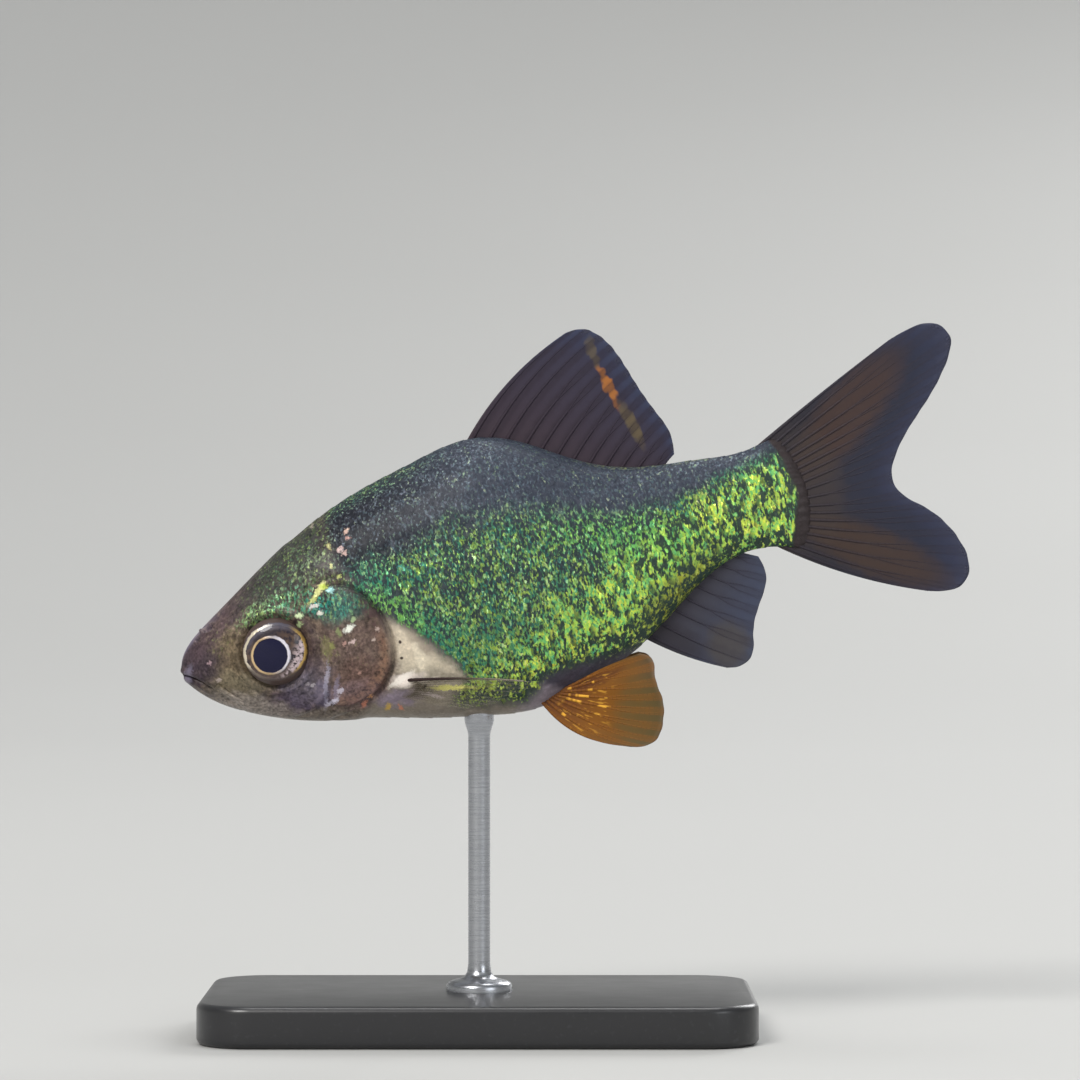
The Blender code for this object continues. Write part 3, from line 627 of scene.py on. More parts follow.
head = {
    "gape": ((-2.0, -0.6), (0.1, -1.2), (1.9, -2.85)),
    "nares": ((1.5, 34.0, 0.22), (2.55, 32.0, 0.32)),   # distance behind the snout, angle and radius
    "naresRim": 0.07,
    "naresDepth": 0.3,
    "flap": (2.0, 26.0),        # place of the flap of skin between them
    "flapSize": (0.17, 0.3, 0.2),
    "flapHeight": 0.36,
    "cover": (
        (11.0, 2.3), (12.6, 2.3), (13.9, 1.35), (14.8, -0.25), (15.2, -2.1), (14.9, -3.9), (13.7, -5.4),
        (11.8, -6.2), (10.0, -5.9), (9.9, -4.2), (10.4, -2.0), (10.5, 0.4), (11.0, 2.3),
    ),
    "preopercle": ((9.3, 1.2), (10.1, -0.7), (10.3, -2.9), (9.7, -4.8), (8.3, -5.75), (6.4, -5.8)),
    # ridges and grooves along those lines, as place across the line, width and height
    "lips": ((0.34, 0.2, 0.1), (-0.32, 0.2, 0.07), (0.0, 0.07, -0.24)),
    "slit": ((0.13, 0.13, -0.26),),
    "rolledEdge": ((-0.16, 0.1, 0.035),),
    "cheek": ((-0.05, 0.2, 0.09), (0.24, 0.12, -0.1)),
    "coverDome": (0.1, 0.17),   # height of the gill cover at its edge, and how much more inside
    # creases: depth, width, how softly the two ends run out, and the line
    "creases": (
        (0.09, 0.12, 0.08, 0.08, ((1.9, -2.85), (2.5, -3.5), (3.1, -4.1), (3.5, -4.8))),    # lips
        (0.06, 0.1, 0.08, 0.08, ((10.5, -4.4), (12.0, -4.5), (13.4, -4.0), (14.8, -3.3))),  # gill cover
        (0.14, 0.14, 0.05, 0.2, ((13.6, -5.7), (12.4, -6.4), (10.8, -6.85), (9.0, -6.95))), # throat
        (0.05, 0.16, 0.08, 0.08, ((9.4, 2.2), (11.0, 2.9), (13.0, 2.9), (15.2, 1.5))),      # temple
    ),
    "finRidge": (15.3, -5.75, 0.85, 0.5, 0.26),     # x, z, half length, half height and how far out
}


def readTable(pairs, value):
    return np.interp(value, *zip(*pairs))


def fromCurve(x, z, points, samples=260):
    # signed distance (left of the curve's run is positive) and share along a curve in x and z
    share = np.linspace(0, 1, samples)
    curve = along(points)(share)
    ahead = np.gradient(curve, axis=0)
    ahead /= np.linalg.norm(ahead, axis=1, keepdims=True)
    flat = np.stack([x.ravel(), z.ravel()], 1)
    signed, where = np.full(len(flat), 9.0), np.zeros(len(flat))
    close = np.all((flat > curve.min(0) - 2.0) & (flat < curve.max(0) + 2.0), axis=1)
    close = np.flatnonzero(close)
    for part in np.array_split(close, max(1, len(close) // 8000)):
        gap = flat[part, None, :] - curve[None]
        far = np.linalg.norm(gap, axis=2)
        i, rows = far.argmin(1), np.arange(len(part))
        here = gap[rows, i]
        side = here[:, 1] * ahead[i, 0] - here[:, 0] * ahead[i, 1]
        signed[part] = np.copysign(far[rows, i], side)
        where[part] = share[i]
    return signed.reshape(x.shape), where.reshape(x.shape)


def waves(away, table):
    return sum(height * hump(away, centre, width) for centre, width, height in table)


def creaseRelief(x, z):
    relief = 0
    for depth, width, start, end, line in head["creases"]:
        away, share = fromCurve(x, z, line)
        relief = relief - depth * hump(away, 0, width) * ease(share, 0.0, start) * ease(1 - share, 0.0, end)
    return relief


def mouthRelief(x, z):
    away, share = fromCurve(x, z, head["gape"])
    return waves(away, head["lips"]) * ease(1 - share, 0.0, 0.12)


def orbitRelief(x, z):
    away = np.hypot(x - eye["x"], z - eye["z"])
    bowl = sum(rise * (ease(away, low, high) - 1) for low, high, rise in eye["bowl"])
    bones = -0.035 * hump(away, 3.75, 0.16) * ease(eye["z"] + 1.0 - z, 0.0, 1.0)
    return bowl + waves(away, eye["rim"]) + bones


def coverRelief(x, z):
    away, share = fromCurve(x, z, head["cover"])
    atRear = ease(share, 0.0, 0.1) * ease(0.72 - share, 0.0, 0.1)
    held = 0.25 + 0.75 * atRear
    edge, dome = head["coverDome"]
    rise = edge * held + dome * (1 - np.exp(-np.maximum(-away, 0) / 2.0))
    lines = waves(away, head["slit"]) * atRear + waves(away, head["rolledEdge"]) * held
    return ease(-away, -0.02, 0.1) * rise + lines


def cheekRelief(x, z):
    away, share = fromCurve(x, z, head["preopercle"])
    return waves(away, head["cheek"]) * ease(share, 0.0, 0.12) * ease(1 - share, 0.0, 0.15)


def finBaseRelief(x, z):
    # the fleshy ridge that the breast fin grows from
    atX, atZ, length, height, out = head["finRidge"]
    behind = x - atX
    return out * np.exp(-(behind / length) ** 2 - ((z - atZ + 0.1 * behind) / height) ** 2)


def nostrilRelief(points):
    relief = 0
    for side in (-1, 1):
        for x, angle, radius in head["nares"]:
            centre = bodyPoint(x, math.radians(angle) * side)
            away = np.linalg.norm(points - centre, axis=-1)
            relief += head["naresRim"] * hump(away, radius + 0.1, 0.09)
            relief -= head["naresDepth"] * ease(radius - away, -0.07, 0.07)
        x, angle = head["flap"]
        gap = (points - bodyPoint(x, math.radians(angle) * side)) / head["flapSize"]
        relief += head["flapHeight"] * np.exp(-np.sum(gap**2, axis=-1))
    return relief


def skinRings():
    # their distances behind the snout, closest at its tip
    places, x = [], body["snout"]
    start, length = body["stemTaper"]
    while x <= start:
        step = skin["headStep"] if x < skin["headRings"] else skin["flankStep"]
        x += min(step, 0.02 + 0.16 * math.sqrt(x - body["snout"]))
        places.append(x)
    stem = [start + length * math.sin(turn) for turn in np.linspace(0, math.pi / 2, skin["stemRings"])]
    return places[:-1] + stem


def scaledShare(x, level):
    return ease(x - readTable(skin["scalesFrom"], level), -0.5, 0.5)


def toneOf(x, level):
    # shares of glitter and of its yellow, as ramps a few millimetres long, and of the breast and belly
    def behind(table, soft):
        return np.clip((x - readTable(coat[table], level)) / soft + 0.5, 0, 1)

    low = np.clip((level - readTable(coat["downTo"], x)) / 0.2 + 0.5, 0, 1)
    glitter = np.minimum(behind("from", 2.2), np.minimum(low, 1 - behind("to", 0.8)))
    return np.stack([glitter, behind("yellowFrom", 9.0), behind("breastFrom", 1.0)], -1)


def detailOf(x, z):
    # painted shade in the creases of the mouth and of the slit under the gill cover's edge, the gill cover's
    # dark edge and the warm band inside it
    mouth, share = fromCurve(x, z, head["gape"])
    creaseShade = 0.7 * hump(mouth, 0, 0.075) * ease(1 - share, 0.0, 0.2)
    away, share = fromCurve(x, z, head["cover"])
    rear = ease(share, 0.02, 0.14) * ease(0.7 - share, 0.0, 0.12) * (0.4 + 0.6 * ease(z, -3.2, 0.2))
    creaseShade = np.maximum(creaseShade, 0.9 * hump(away, 0.13, 0.09) * rear)
    return np.stack([creaseShade, hump(away, -0.12, 0.14) * rear, hump(away, -0.55, 0.4) * np.sqrt(rear)], -1)


def skinSurface():
    x = np.array(skinRings())[:, None]
    angle = np.linspace(0, 2 * math.pi, skin["around"], endpoint=False)[None]
    points, normals = bodyPoint(x, angle), bodyNormal(x, angle)
    level = np.broadcast_to(np.cos(angle), points.shape[:2])
    x = np.broadcast_to(x, level.shape)
    scaled = scaledShare(x, level)
    px, pz = points[..., 0], points[..., 2]
    forms = mouthRelief, orbitRelief, coverRelief, cheekRelief, creaseRelief, finBaseRelief
    relief = nostrilRelief(points) + sum(form(px, pz) for form in forms)
    relief -= skin["sink"][0] + (skin["sink"][1] - skin["sink"][0]) * scaled
    relief += skin["folds"] * np.sin(px * 0.4 + pz * 9.0) * ease(px, 45.9, 46.6)
    points = points + normals * relief[..., None]
    points[..., 0] -= body["stemArc"] * level**2 * ease(x, 44.6, sum(body["stemTaper"]))
    outward = np.sign(np.sin(angle))
    points[..., 1] = outward * np.maximum(points[..., 1] * outward, 0)      # the sides meet in the tail fin
    return points, np.stack([x, level, scaled], -1), toneOf(x, level), detailOf(px, pz)


def skinMesh():
    points, *painted = skinSurface()
    rings, sides = points.shape[:2]
    tip = (body["snout"] + skin["sink"][0], 0, body["stations"][0][1])
    flat = np.concatenate([[tip], points.reshape(-1, 3)])
    painted = [np.concatenate([values.reshape(-1, 3)[:1], values.reshape(-1, 3)]) for values in painted]
    faces = fanFaces(rings, sides)
    for side in (-1, 1):
        more, moreFaces = barbel(side)
        faces += [tuple(i + len(flat) for i in face) for face in moreFaces]
        flat = np.concatenate([flat, more])
        painted = [np.concatenate([values, [barbels["site"]] * len(more)]) for values in painted]
    mesh = newMesh("skin", toWorld(flat), faces)
    for name, values in zip(("site", "tone", "detail"), painted):
        if name != "site":
            values = np.clip(values, 0, 1) * (values[:, :1] != barbels["site"][0])      # none on the barbels
        setAttribute(mesh, name, values)
    closeUp(mesh)
    return mesh


barbels = {
    "line": ((2.1, -2.35), (2.8, -3.1), (3.7, -3.75)),
    "thick": 0.2,
    "taper": 0.45,              # share of the thickness lost towards the tip
    "lift": (0.02, 0.24),       # of the root and of the tip over the cheek
    "steps": 14,
    "sides": 12,
    "site": (2.0, -0.6, 0.0),   # the place on the body whose colours they take
}


def barbel(side):
    line = along(barbels["line"])
    low, high = barbels["lift"]
    path, radii = [], []
    for share in np.linspace(0, 1, barbels["steps"]):
        path.append(sidePoint(*line(share), side, low + (high - low) * share))
        radii.append(barbels["thick"] * math.sqrt(1.001 - share**3) * (1 - barbels["taper"] * share))
    return tubeShape(path, radii, barbels["sides"])


def bodyPaint(graph, onScales):
    place = fishPlace(graph)
    _, _, z = graph.split(place)
    x, level, _ = graph.attribute("site")
    glitter, yellow, bare = graph.attribute("tone")
    # creases holds the painted shade in the mouth's crease and in the gill slit
    creases, gillEdge, gillBand = graph.attribute("detail")
    flat = graph.vector("MULTIPLY", place, (1, 0, 1))
    wander = graph.swing(graph.noise(place, 0.8, 3.0, "Color"))
    wander = graph.vector("MULTIPLY", wander, (1.3, 0, 1.3))
    spread = graph.vector("ADD", flat, wander)
    broad = graph.noise(place, 1.5, 3.0) - 0.5

    # shares of the glitter, of its yellow part and of the dusky back
    glitter = (glitter + broad * 0.7).between(0.2, 0.8)
    bare = (bare * level.between(0.45, 0.1)).math("MAXIMUM", x.between(43.5, 44.5))
    yellow = (yellow + broad * 0.5).between(0.1, 1.0)
    onStem = x.between(38.0, 44.0)
    back = (level + broad * 0.35 - onStem * 0.34).between(0.28, 0.58)
    back = back * (1 - level.between(0.86, 0.97) * x.between(23.0, 17.0) * 0.5)

    # worm-like specks with a random hue each
    slant = graph.vector("MULTIPLY", graph.turn(place, coat["lean"]), (1, 1, 1 / coat["tall"]))
    worms = graph.vector("MULTIPLY", slant, (1 / coat["grain"],) * 3)
    inputs = {"Vector": worms, "Scale": 0.7, "Detail": 1.5, "Distortion": 0.5}
    fine = graph.node("ShaderNodeTexNoise", None, inputs)
    taller = graph.vector("MULTIPLY", worms, (1, 1, 0.7))
    coarse = graph.node("ShaderNodeTexNoise", None, {**inputs, "Vector": taller, "Scale": 0.38})
    worm = (fine + (coarse - fine) * yellow * 0.65 - 0.5) * 2.8 + 0.5
    specks = graph.cells(place, coat["grain"] * 1.15, coat["tall"])
    speck, hue, _ = graph.split(specks, "Color")
    blob, hueBroad, _ = graph.split(graph.cells(place, coat["grain"] * 4, coat["tall"]), "Color")
    grain = worm * (0.6 + yellow * 0.15) + speck * (0.4 - yellow * 0.15)
    hue = hue * 0.6 + hueBroad * 0.4

    sheen = graph.mix(yellow, graph.ramp(hue, coat["flank"]), graph.ramp(hue, coat["rear"]))
    sheen = addMarks(graph, sheen, spread, coat["patches"], 0.8)
    sheen = graph.mix(back, sheen, graph.ramp(hue, coat["back"]))
    front = x.between(26.0, 13.0)
    dense = 0.43 + yellow * 0.02 - back * (0.04 + front * 0.08)
    dense = dense + level.between(0.1, -0.6) * (0.17 - yellow * 0.1)
    dense = dense + (blob - 0.5) * 0.2 + broad * 0.25 - yellow * level.between(-0.5, -0.9) * 0.17
    under = graph.mix(yellow, coat["flankDark"], coat["rearDark"])
    # the backFront tone on the front of the back: partly its slate colour, partly painted shade against the
    # light from above
    under = graph.mix(back, under, graph.mix(front, coat["backDark"], coat["backFront"]))
    edge = (level + (worm - 0.5) * 0.02).between(0.95, 0.985) * x.between(31.0, 33.0) * x.between(42.0, 40.0)
    under = graph.mix(edge * worm.between(0.35, 0.7) * 0.6, under, (156, 166, 104))
    rump = graph.mix(x.between(22.5, 25.5), coat["belly"], coat["ventSlate"])
    rump = addMarks(graph, rump, spread, flankMarks["pale"], 0.7)
    rump = graph.mix(x.between(43.5, 44.5), rump, coat["finRoot"])

    blotches = graph.noise(place, 0.45, 5.0).between(0.36, 0.66)
    skinTone = graph.mix(blotches, headPaint["dark"], headPaint["light"])
    skinTone = addMarks(graph, skinTone, spread, headPaint["marks"], 0.75)
    skinTone = graph.mix(bare, skinTone, rump)
    headSheen = addMarks(graph, (0, 0, 0), spread, headPaint["sheen"], 0.8)
    headDense = graph.node("ShaderNodeRGBToBW", None, {"Color": headSheen}).between(0.0, 0.22) * (1 - bare)
    headSheen = graph.mix(hue.between(0.4, 1.0) * 0.5, headSheen, (184, 204, 116))

    base = graph.mix(glitter, skinTone, under)
    shine = graph.mix(glitter, headSheen, sheen)
    dense = dense * glitter + (headDense * 0.36 + 0.12) * (1 - glitter)
    lit = (grain + dense - 0.95) * (2.3 + yellow * glitter) + 0.42
    lit = lit.between(0.0, 1.0) * (glitter + headDense).math("MINIMUM", 1.0)
    colour = graph.mix(lit, base, shine)
    # the front of the back darkened further: partly the back's slate colour, partly painted shade against
    # the light from above
    colour = graph.mix(back * front * glitter * 0.25, colour, (30, 32, 38))
    glint = speck.between(0.72, 0.95) * worm.between(0.55, 0.9) * glitter * (1 - back * 0.85)
    colour = graph.mix(glint * 0.7, colour, graph.mix(yellow, (186, 226, 160), (230, 242, 124)))

    mottle = (graph.noise(place, 0.2, 4.0) - 0.5) * 2.0 + (graph.noise(place, 0.7, 2.0) - 0.5) * 1.2
    mottle = (mottle + speck.between(0.9, 1.0) * 0.5 - 0.05) * (1 - bare * 0.65) + 1
    grey = graph.node("ShaderNodeCombineColor", None, {0: mottle, 1: mottle, 2: mottle})
    colour = graph.mix(1 - glitter, colour, graph.mix(1.0, colour, grey, "MULTIPLY"))
    warm = gillBand * 0.8 * (broad + 0.9) * mottle.between(0.4, 1.3)
    colour = graph.mix(warm, colour, graph.mix(z.between(-3.2, -0.8), (164, 122, 94), (76, 54, 58)))
    colour = graph.mix(gillEdge * 0.8, colour, (58, 38, 42))
    ragged = graph.swing(graph.noise(place, 0.16, 2.0, "Color"))
    near = graph.vector("ADD", flat, graph.vector("MULTIPLY", wander, (0.3, 0, 0.3)))
    near = graph.vector("ADD", near, graph.vector("MULTIPLY", ragged, (0.5, 0, 0.5)))
    colour = addMarks(graph, colour, near, headPaint["glints"], 0.6)
    colour = addMarks(graph, colour, flat, flankMarks["dots"], 0.4)
    lipEdge = level.between(0.8, 0.97) * x.between(4.5, 1.0) * 0.5
    colour = graph.mix(lipEdge, colour, (138, 128, 152))
    # painted shade: the creases of the mouth and of the gill slit darkened
    colour = graph.mix(creases * 0.85, colour, (30, 20, 24))

    metal = lit * (0.2 + glitter * 0.35) * (1 - back * 0.7) + 0.06
    geometry = graph.node("ShaderNodeNewGeometry", None, None, "Normal")
    leaning = graph.scaled(graph.swing(specks), glitter * coat["tilt"] + headDense * 0.25 + 0.06)
    normal = graph.vector("NORMALIZE", graph.vector("ADD", geometry, leaning))
    normal = graph.bump(graph.noise(place, 0.16, 3.0), 0.018, normal)
    if onScales:
        px, py, _ = graph.attribute("plate")
        # painted shadow under the edge of the scale ahead: the front of each plate darkened to the under
        # colour
        scaleShadow = px.between(0.3, -0.1) * (0.15 + yellow * 0.6) * (1 - back * 0.5)
        colour = graph.mix(scaleShadow * glitter, colour, under)
        grooves = (py / (px + 2.2) * 34.0).math("SINE") * 0.5 + 0.5
        normal = graph.bump(grooves, 0.008, normal)
    rough = 0.5 - lit * 0.16 - (1 - glitter) * 0.06
    return {"Base Color": colour, "Metallic": metal, "Roughness": rough, "Normal": normal}


gloss = {
    "skin": {"Specular IOR Level": 0.17, "Coat Weight": 0.06, "Coat Roughness": 0.2},
    "scales": {"Specular IOR Level": 0.14, "Coat Weight": 0.05, "Coat Roughness": 0.2},
    "eye": {"Specular IOR Level": 0.15, "Coat Weight": 0.8, "Coat Roughness": 0.03, "Coat IOR": 1.33},
}
headSkin = newFinish("glittering skin", lambda graph: bodyPaint(graph, False), gloss["skin"])
scaleFinish = newFinish("glittering scales", lambda graph: bodyPaint(graph, True), gloss["scales"])
skinPiece = newObject("skin", skinMesh(), headSkin)
flesh = "head", "lower_jaw", "gill_cover_left", "gill_cover_right", "trunk", "tail_stem"
addPiece(skinPiece, "head_skin", *flesh)


# Scales, thin overlapping plates in rows along the flank

scales = {
    "rowStep": ((9.0, 1.45), (14.0, 1.65), (20.0, 1.85), (28.0, 1.8), (36.0, 1.5), (46.0, 1.25)),
    "columnStep": ((9.0, 1.25), (14.0, 1.4), (22.0, 1.55), (34.0, 1.4), (46.0, 1.15)),
    "firstAt": 8.6,
    "lastAt": 45.9,
    "finless": ((24.2, 38.2), (33.0, 41.6)),    # where fins leave no room on the ridges of back and belly
    "room": 0.3,                # share of a row's step that stays free at the ridges
    "behind": 0.35,             # how far the first seats are behind the head's skin
    "plate": (2.5, 2.15),       # length and width of a scale where the steps are those of plateSteps
    "plateSteps": (1.5, 1.75),
    "thick": 0.022,
    "rise": (-0.03, 0.04),      # of the front and the free edge over the skin
    "cells": 7,
    "patch": 0.003,             # size of a scale in the bake map
    "vary": 0.07,               # of the size
    "shift": 0.04,              # of a seat along its row
    "sway": 0.015,              # of the direction
    "seed": 7,
}


def scalePlate():
    # an oval plate, its free edge at +x, with its own coordinates kept for the colours
    size = scales["cells"] + 1
    length, width = scales["plate"]
    steps = np.linspace(-1, 1, size)
    p, q = [grid.ravel() for grid in np.meshgrid(steps, steps, indexing="ij")]
    px, py = p * np.sqrt(1 - q * q / 2), q * np.sqrt(1 - p * p / 2)
    low, high = scales["rise"]
    top = low + (high - low) * ((px + 1) / 2) ** 0.8 - 0.02 * py**2
    where = np.concatenate([np.stack([px, py, top - sink], 1) for sink in (0, scales["thick"])])
    mesh = newMesh("plate", where * (length / 2, width / 2, 1) * mm, sheetFaces(size, size))
    setAttribute(mesh, "plate", where)
    closeUp(mesh)
    mesh.set_sharp_from_angle(angle=math.radians(40))
    return mesh


def arcTable(x):
    angle = np.linspace(0, math.pi, 181)
    points = bodyPoint(x, angle)
    arc = np.concatenate([[0], np.cumsum(np.linalg.norm(np.diff(points, axis=0), axis=1))])
    return angle, arc, arc[90]


def scaleSeats():
    # places on the right side as distance behind the snout and angle from the back
    columns, x = [], scales["firstAt"]
    while x < scales["lastAt"]:
        columns.append(x)
        x += readTable(scales["columnStep"], x) / 2
    seats = []
    for number, x in enumerate(columns):
        angle, arc, middle = arcTable(x)
        step = readTable(scales["rowStep"], x)
        room = scales["room"] * step
        for row in range(-9, 10):
            where = middle - row * step
            if (row + number) % 2 == 0 and room <= where <= arc[-1] - room:
                seats.append((x, float(np.interp(where, arc, angle))))
        for ridge, (low, high) in zip((0.0, math.pi), scales["finless"]):
            if number % 2 == 0 and not low < x < high:
                seats.append((x, ridge))
    starts = [readTable(skin["scalesFrom"], math.cos(angle)) + scales["behind"] for _, angle in seats]
    return [seat for seat, start in zip(seats, starts) if seat[0] > start]


def seatMesh(side):
    draw = np.random.default_rng(scales["seed"] + side)
    points, outs, lies, sizes, seats = [], [], [], [], []
    for x, angle in scaleSeats():
        if side < 0 and angle in (0.0, math.pi):
            continue        # the scales on the ridges belong to the right side
        x = x + draw.normal(0, scales["shift"])
        turn = angle * side
        points.append(bodyPoint(x, turn))
        outs.append(turned(bodyNormal(x, turn)))
        ahead = turned(bodyPoint(x + 0.2, turn) - bodyPoint(x - 0.2, turn))
        lies.append(ahead + (0, 0, draw.normal(0, scales["sway"])))
        vary = 1 + draw.normal(0, scales["vary"] / 2)
        long, wide = scales["plateSteps"]
        long, wide = readTable(scales["columnStep"], x) / long, readTable(scales["rowStep"], x) / wide
        sizes.append((long * vary, wide * vary, 1.0))
        u = 0.02 + 0.96 * (x - body["snout"]) / (body["end"] - body["snout"])
        seats.append((u, 0.5 + side * (0.02 + 0.46 * angle / math.pi), draw.random()))
    mesh = newMesh("seats", toWorld(np.array(points)), [])
    for name, values in (("out", outs), ("lie", lies), ("size", sizes), ("seat", seats)):
        setAttribute(mesh, name, values)
    return mesh


def named(graph, name, kind="FLOAT_VECTOR"):
    return graph.node("GeometryNodeInputNamedAttribute", {"data_type": kind}, {"Name": name})


def objectShape(graph, given):
    return graph.node("GeometryNodeObjectInfo", None, {"Object": given}, "Geometry")


def stored(graph, geometry, name, value, kind="FLOAT_VECTOR", domain="POINT"):
    inputs = {"Geometry": geometry, "Name": name, "Value": value}
    settings = {"data_type": kind, "domain": domain}
    return graph.node("GeometryNodeStoreNamedAttribute", settings, inputs)


def scaleTree():
    # a plate on every seat, laid down on the skin, with its own patch in the bake map
    inputs = (("Plate", "Object"), ("Skin", "Object"), ("Patch", "Float"), ("Finish", "Material"))
    tree, graph, given = geometryTree("scaleCoat", inputs)
    align = "FunctionNodeAlignRotationToVector"
    upright = graph.node(align, {"axis": "Z"}, {"Vector": named(graph, "out")})
    inputs = {"Rotation": upright, "Vector": named(graph, "lie")}
    laid = graph.node(align, {"axis": "X", "pivot_axis": "Z"}, inputs)
    inputs = {
        "Points": given["Geometry"], "Instance": objectShape(graph, given["Plate"]),
        "Rotation": laid, "Scale": named(graph, "size"),
    }
    placed = graph.node("GeometryNodeInstanceOnPoints", None, inputs)
    shape = graph.node("GeometryNodeRealizeInstances", None, {"Geometry": placed})
    under = objectShape(graph, given["Skin"])
    where = graph.node("GeometryNodeInputPosition")

    def fromSkin(value):
        inputs = {"Mesh": under, "Value": value, "Sample Position": where}
        return graph.node("GeometryNodeSampleNearestSurface", {"data_type": "FLOAT_VECTOR"}, inputs)

    inputs = {"Geometry": under, "Sample Position": where}
    nearest = graph.node("GeometryNodeProximity", {"target_element": "FACES"}, inputs)
    out = graph.vector("NORMALIZE", fromSkin(graph.node("GeometryNodeInputNormal")))
    plate = named(graph, "plate")
    position = graph.vector("ADD", nearest, graph.scaled(out, graph.split(plate)[2] * mm))
    for name in ("site", "tone"):
        shape = stored(graph, shape, name, fromSkin(named(graph, name)))
    draped = graph.node("GeometryNodeSetPosition", None, {"Geometry": shape, "Position": position})
    place = graph.vector("ADD", named(graph, "seat"), graph.scaled(plate, given["Patch"] * 0.5))
    endTree(graph, stored(graph, draped, "OFBake", place, "FLOAT2", "CORNER"), given["Finish"])
    return tree


plateObject = newObject("plate", scalePlate())
coatTree = scaleTree()
for side, name in ((-1, "left"), (1, "right")):
    values = {"Plate": plateObject, "Skin": skinPiece, "Patch": scales["patch"], "Finish": scaleFinish}
    addPiece(grown("scales_" + name, seatMesh(side), coatTree, values), "scaled_skin", "trunk", "tail_stem")
bpy.data.objects.remove(plateObject)


# Eyes, painted under a clear coat on the dome of the cornea

iris = {
    "outer": (228, 216, 192),
    "body": (92, 74, 64),
    "dusk": (40, 35, 44),
    "pupil": (8, 8, 46),
    "pupilRadius": 1.25,
    "innerRing": 0.13,
    "outerRing": (2.14, 2.32),
    "flatter": 1.14,            # how much wider than tall the outer ring is
    "segments": 72,
    "rings": 44,
}


def irisPaint(graph):
    place = fishPlace(graph)
    x, _, z = graph.split(place)
    dx, dz = x - eye["x"], z - eye["z"]
    tall = dz * iris["flatter"]
    fromCentre = (dx * dx + tall * tall).math("SQRT")
    px, pz = dx - eye["pupil"][0], dz - eye["pupil"][1]
    fromPupil = (px * px + pz * pz).math("SQRT")
    turn = pz.math("ARCTAN2", px)
    mottle = graph.noise(place, 0.28, 5.0)
    streaks = graph.noise(graph.join(turn * 2.6, fromPupil * 1.2), 0.4, 3.0)
    ripple = (mottle - 0.5) * 0.24
    fromPupil, fromCentre = fromPupil + ripple * 0.5, fromCentre + ripple
    colour = graph.mix((mottle * 0.6 + streaks * 0.4).between(0.38, 0.62), iris["dusk"], iris["body"])
    # painted shade of the orbit's upper rim: the top of the iris darker
    top = (dz - dx * 0.15).between(0.5, 1.5)
    shadedTopTone = graph.mix(fromCentre.between(1.7, 2.05), iris["dusk"], (84, 80, 92))
    colour = graph.mix(top * 0.8, colour, shadedTopTone)
    bottom = (dz + dx * 0.3).between(-0.95, -1.6)
    colour = graph.mix(bottom * 0.7, colour, (92, 78, 74))
    silver = (dx * 0.8 - dz * 0.75).between(0.9, 1.9) * fromCentre.between(2.3, 2.0)
    silver = silver * fromPupil.between(1.4, 1.75) * (streaks * 0.6 + mottle * 0.4).between(0.42, 0.54)
    colour = graph.mix(silver * 0.85, colour, (222, 202, 206))
    low, high = iris["outerRing"]
    ring = fromCentre.between(low - 0.06, low + 0.02) * fromCentre.between(high + 0.05, high - 0.03)
    left = (dx * -1.0 + dz * 0.25).between(-0.2, 1.6)
    right = (dx - dz * 0.35).between(0.6, 1.9)
    ringTone = graph.mix(right, (96, 96, 108), (206, 170, 96))
    ringTone = graph.mix(left, ringTone, iris["outer"])
    colour = graph.mix(ring * (0.35 + (left + right * 0.8) * 0.65) * (1 - bottom * 0.85), colour, ringTone)
    size = iris["pupilRadius"]
    inner = fromPupil.between(size + iris["innerRing"] + 0.07, size + iris["innerRing"] - 0.02)
    crescent = (px * 0.9 + pz * 0.3).between(0.7, 1.3) * fromPupil.between(size + 0.26, size + 0.16)
    innerTone = graph.mix((px * 0.9).between(-0.4, 0.8), (214, 184, 140), (238, 232, 242))
    bright = inner * (0.65 + (px * px).between(0.2, 1.0) * 0.35)
    colour = graph.mix(bright.math("MAXIMUM", crescent * 0.9), colour, innerTone)
    colour = graph.mix(fromPupil.between(size + 0.03, size - 0.03), colour, iris["pupil"])
    colour = graph.mix(fromCentre.between(high + 0.02, high + 0.1), colour, (76, 62, 58))
    relief = ring * 0.5 + inner * 0.5 + mottle * 0.3 + streaks * 0.25
    relief = relief - fromPupil.between(size + 0.03, size - 0.05) * 0.8
    metal = (ring * (left + right) + inner + silver).math("MINIMUM", 1.0) * 0.5
    metal = metal * fromPupil.between(size - 0.03, size + 0.03)
    normal = graph.bump(relief, 0.07)
    return {"Base Color": colour, "Metallic": metal, "Roughness": 0.36 - metal * 0.12, "Normal": normal}


def eyeMesh(side):
    centre = sidePoint(eye["x"], eye["z"], side, -eye["sink"])
    sides, rings = iris["segments"], iris["rings"]
    points = []
    for fall in np.arange(1, rings) * math.pi / rings:
        reach = math.cos(fall) * (eye["cornea"] if fall < math.pi / 2 else eye["back"])
        wide = math.sin(fall) * eye["radius"]
        points += [centre + (wide * x, reach * side, wide * z) for x, z in circle(sides)]
    faces = ringFaces(rings - 1, sides)
    front, last = len(points), (rings - 2) * sides
    points += [centre + (0, eye["cornea"] * side, 0), centre - (0, eye["back"] * side, 0)]
    for j in range(sides):
        b = (j + 1) % sides
        faces += [(front, j, b), (front + 1, last + b, last + j)]
    mesh = newMesh("eye", toWorld(np.array(points)), faces)
    closeUp(mesh)
    return mesh


eyeFinish = newFinish("ringed iris", irisPaint, gloss["eye"])
for side, name in ((-1, "left"), (1, "right")):
    addPiece(newObject("eyeball_" + name, eyeMesh(side), eyeFinish), "eye", "eye_" + name)


# Fins, a thin membrane with branched and jointed rays

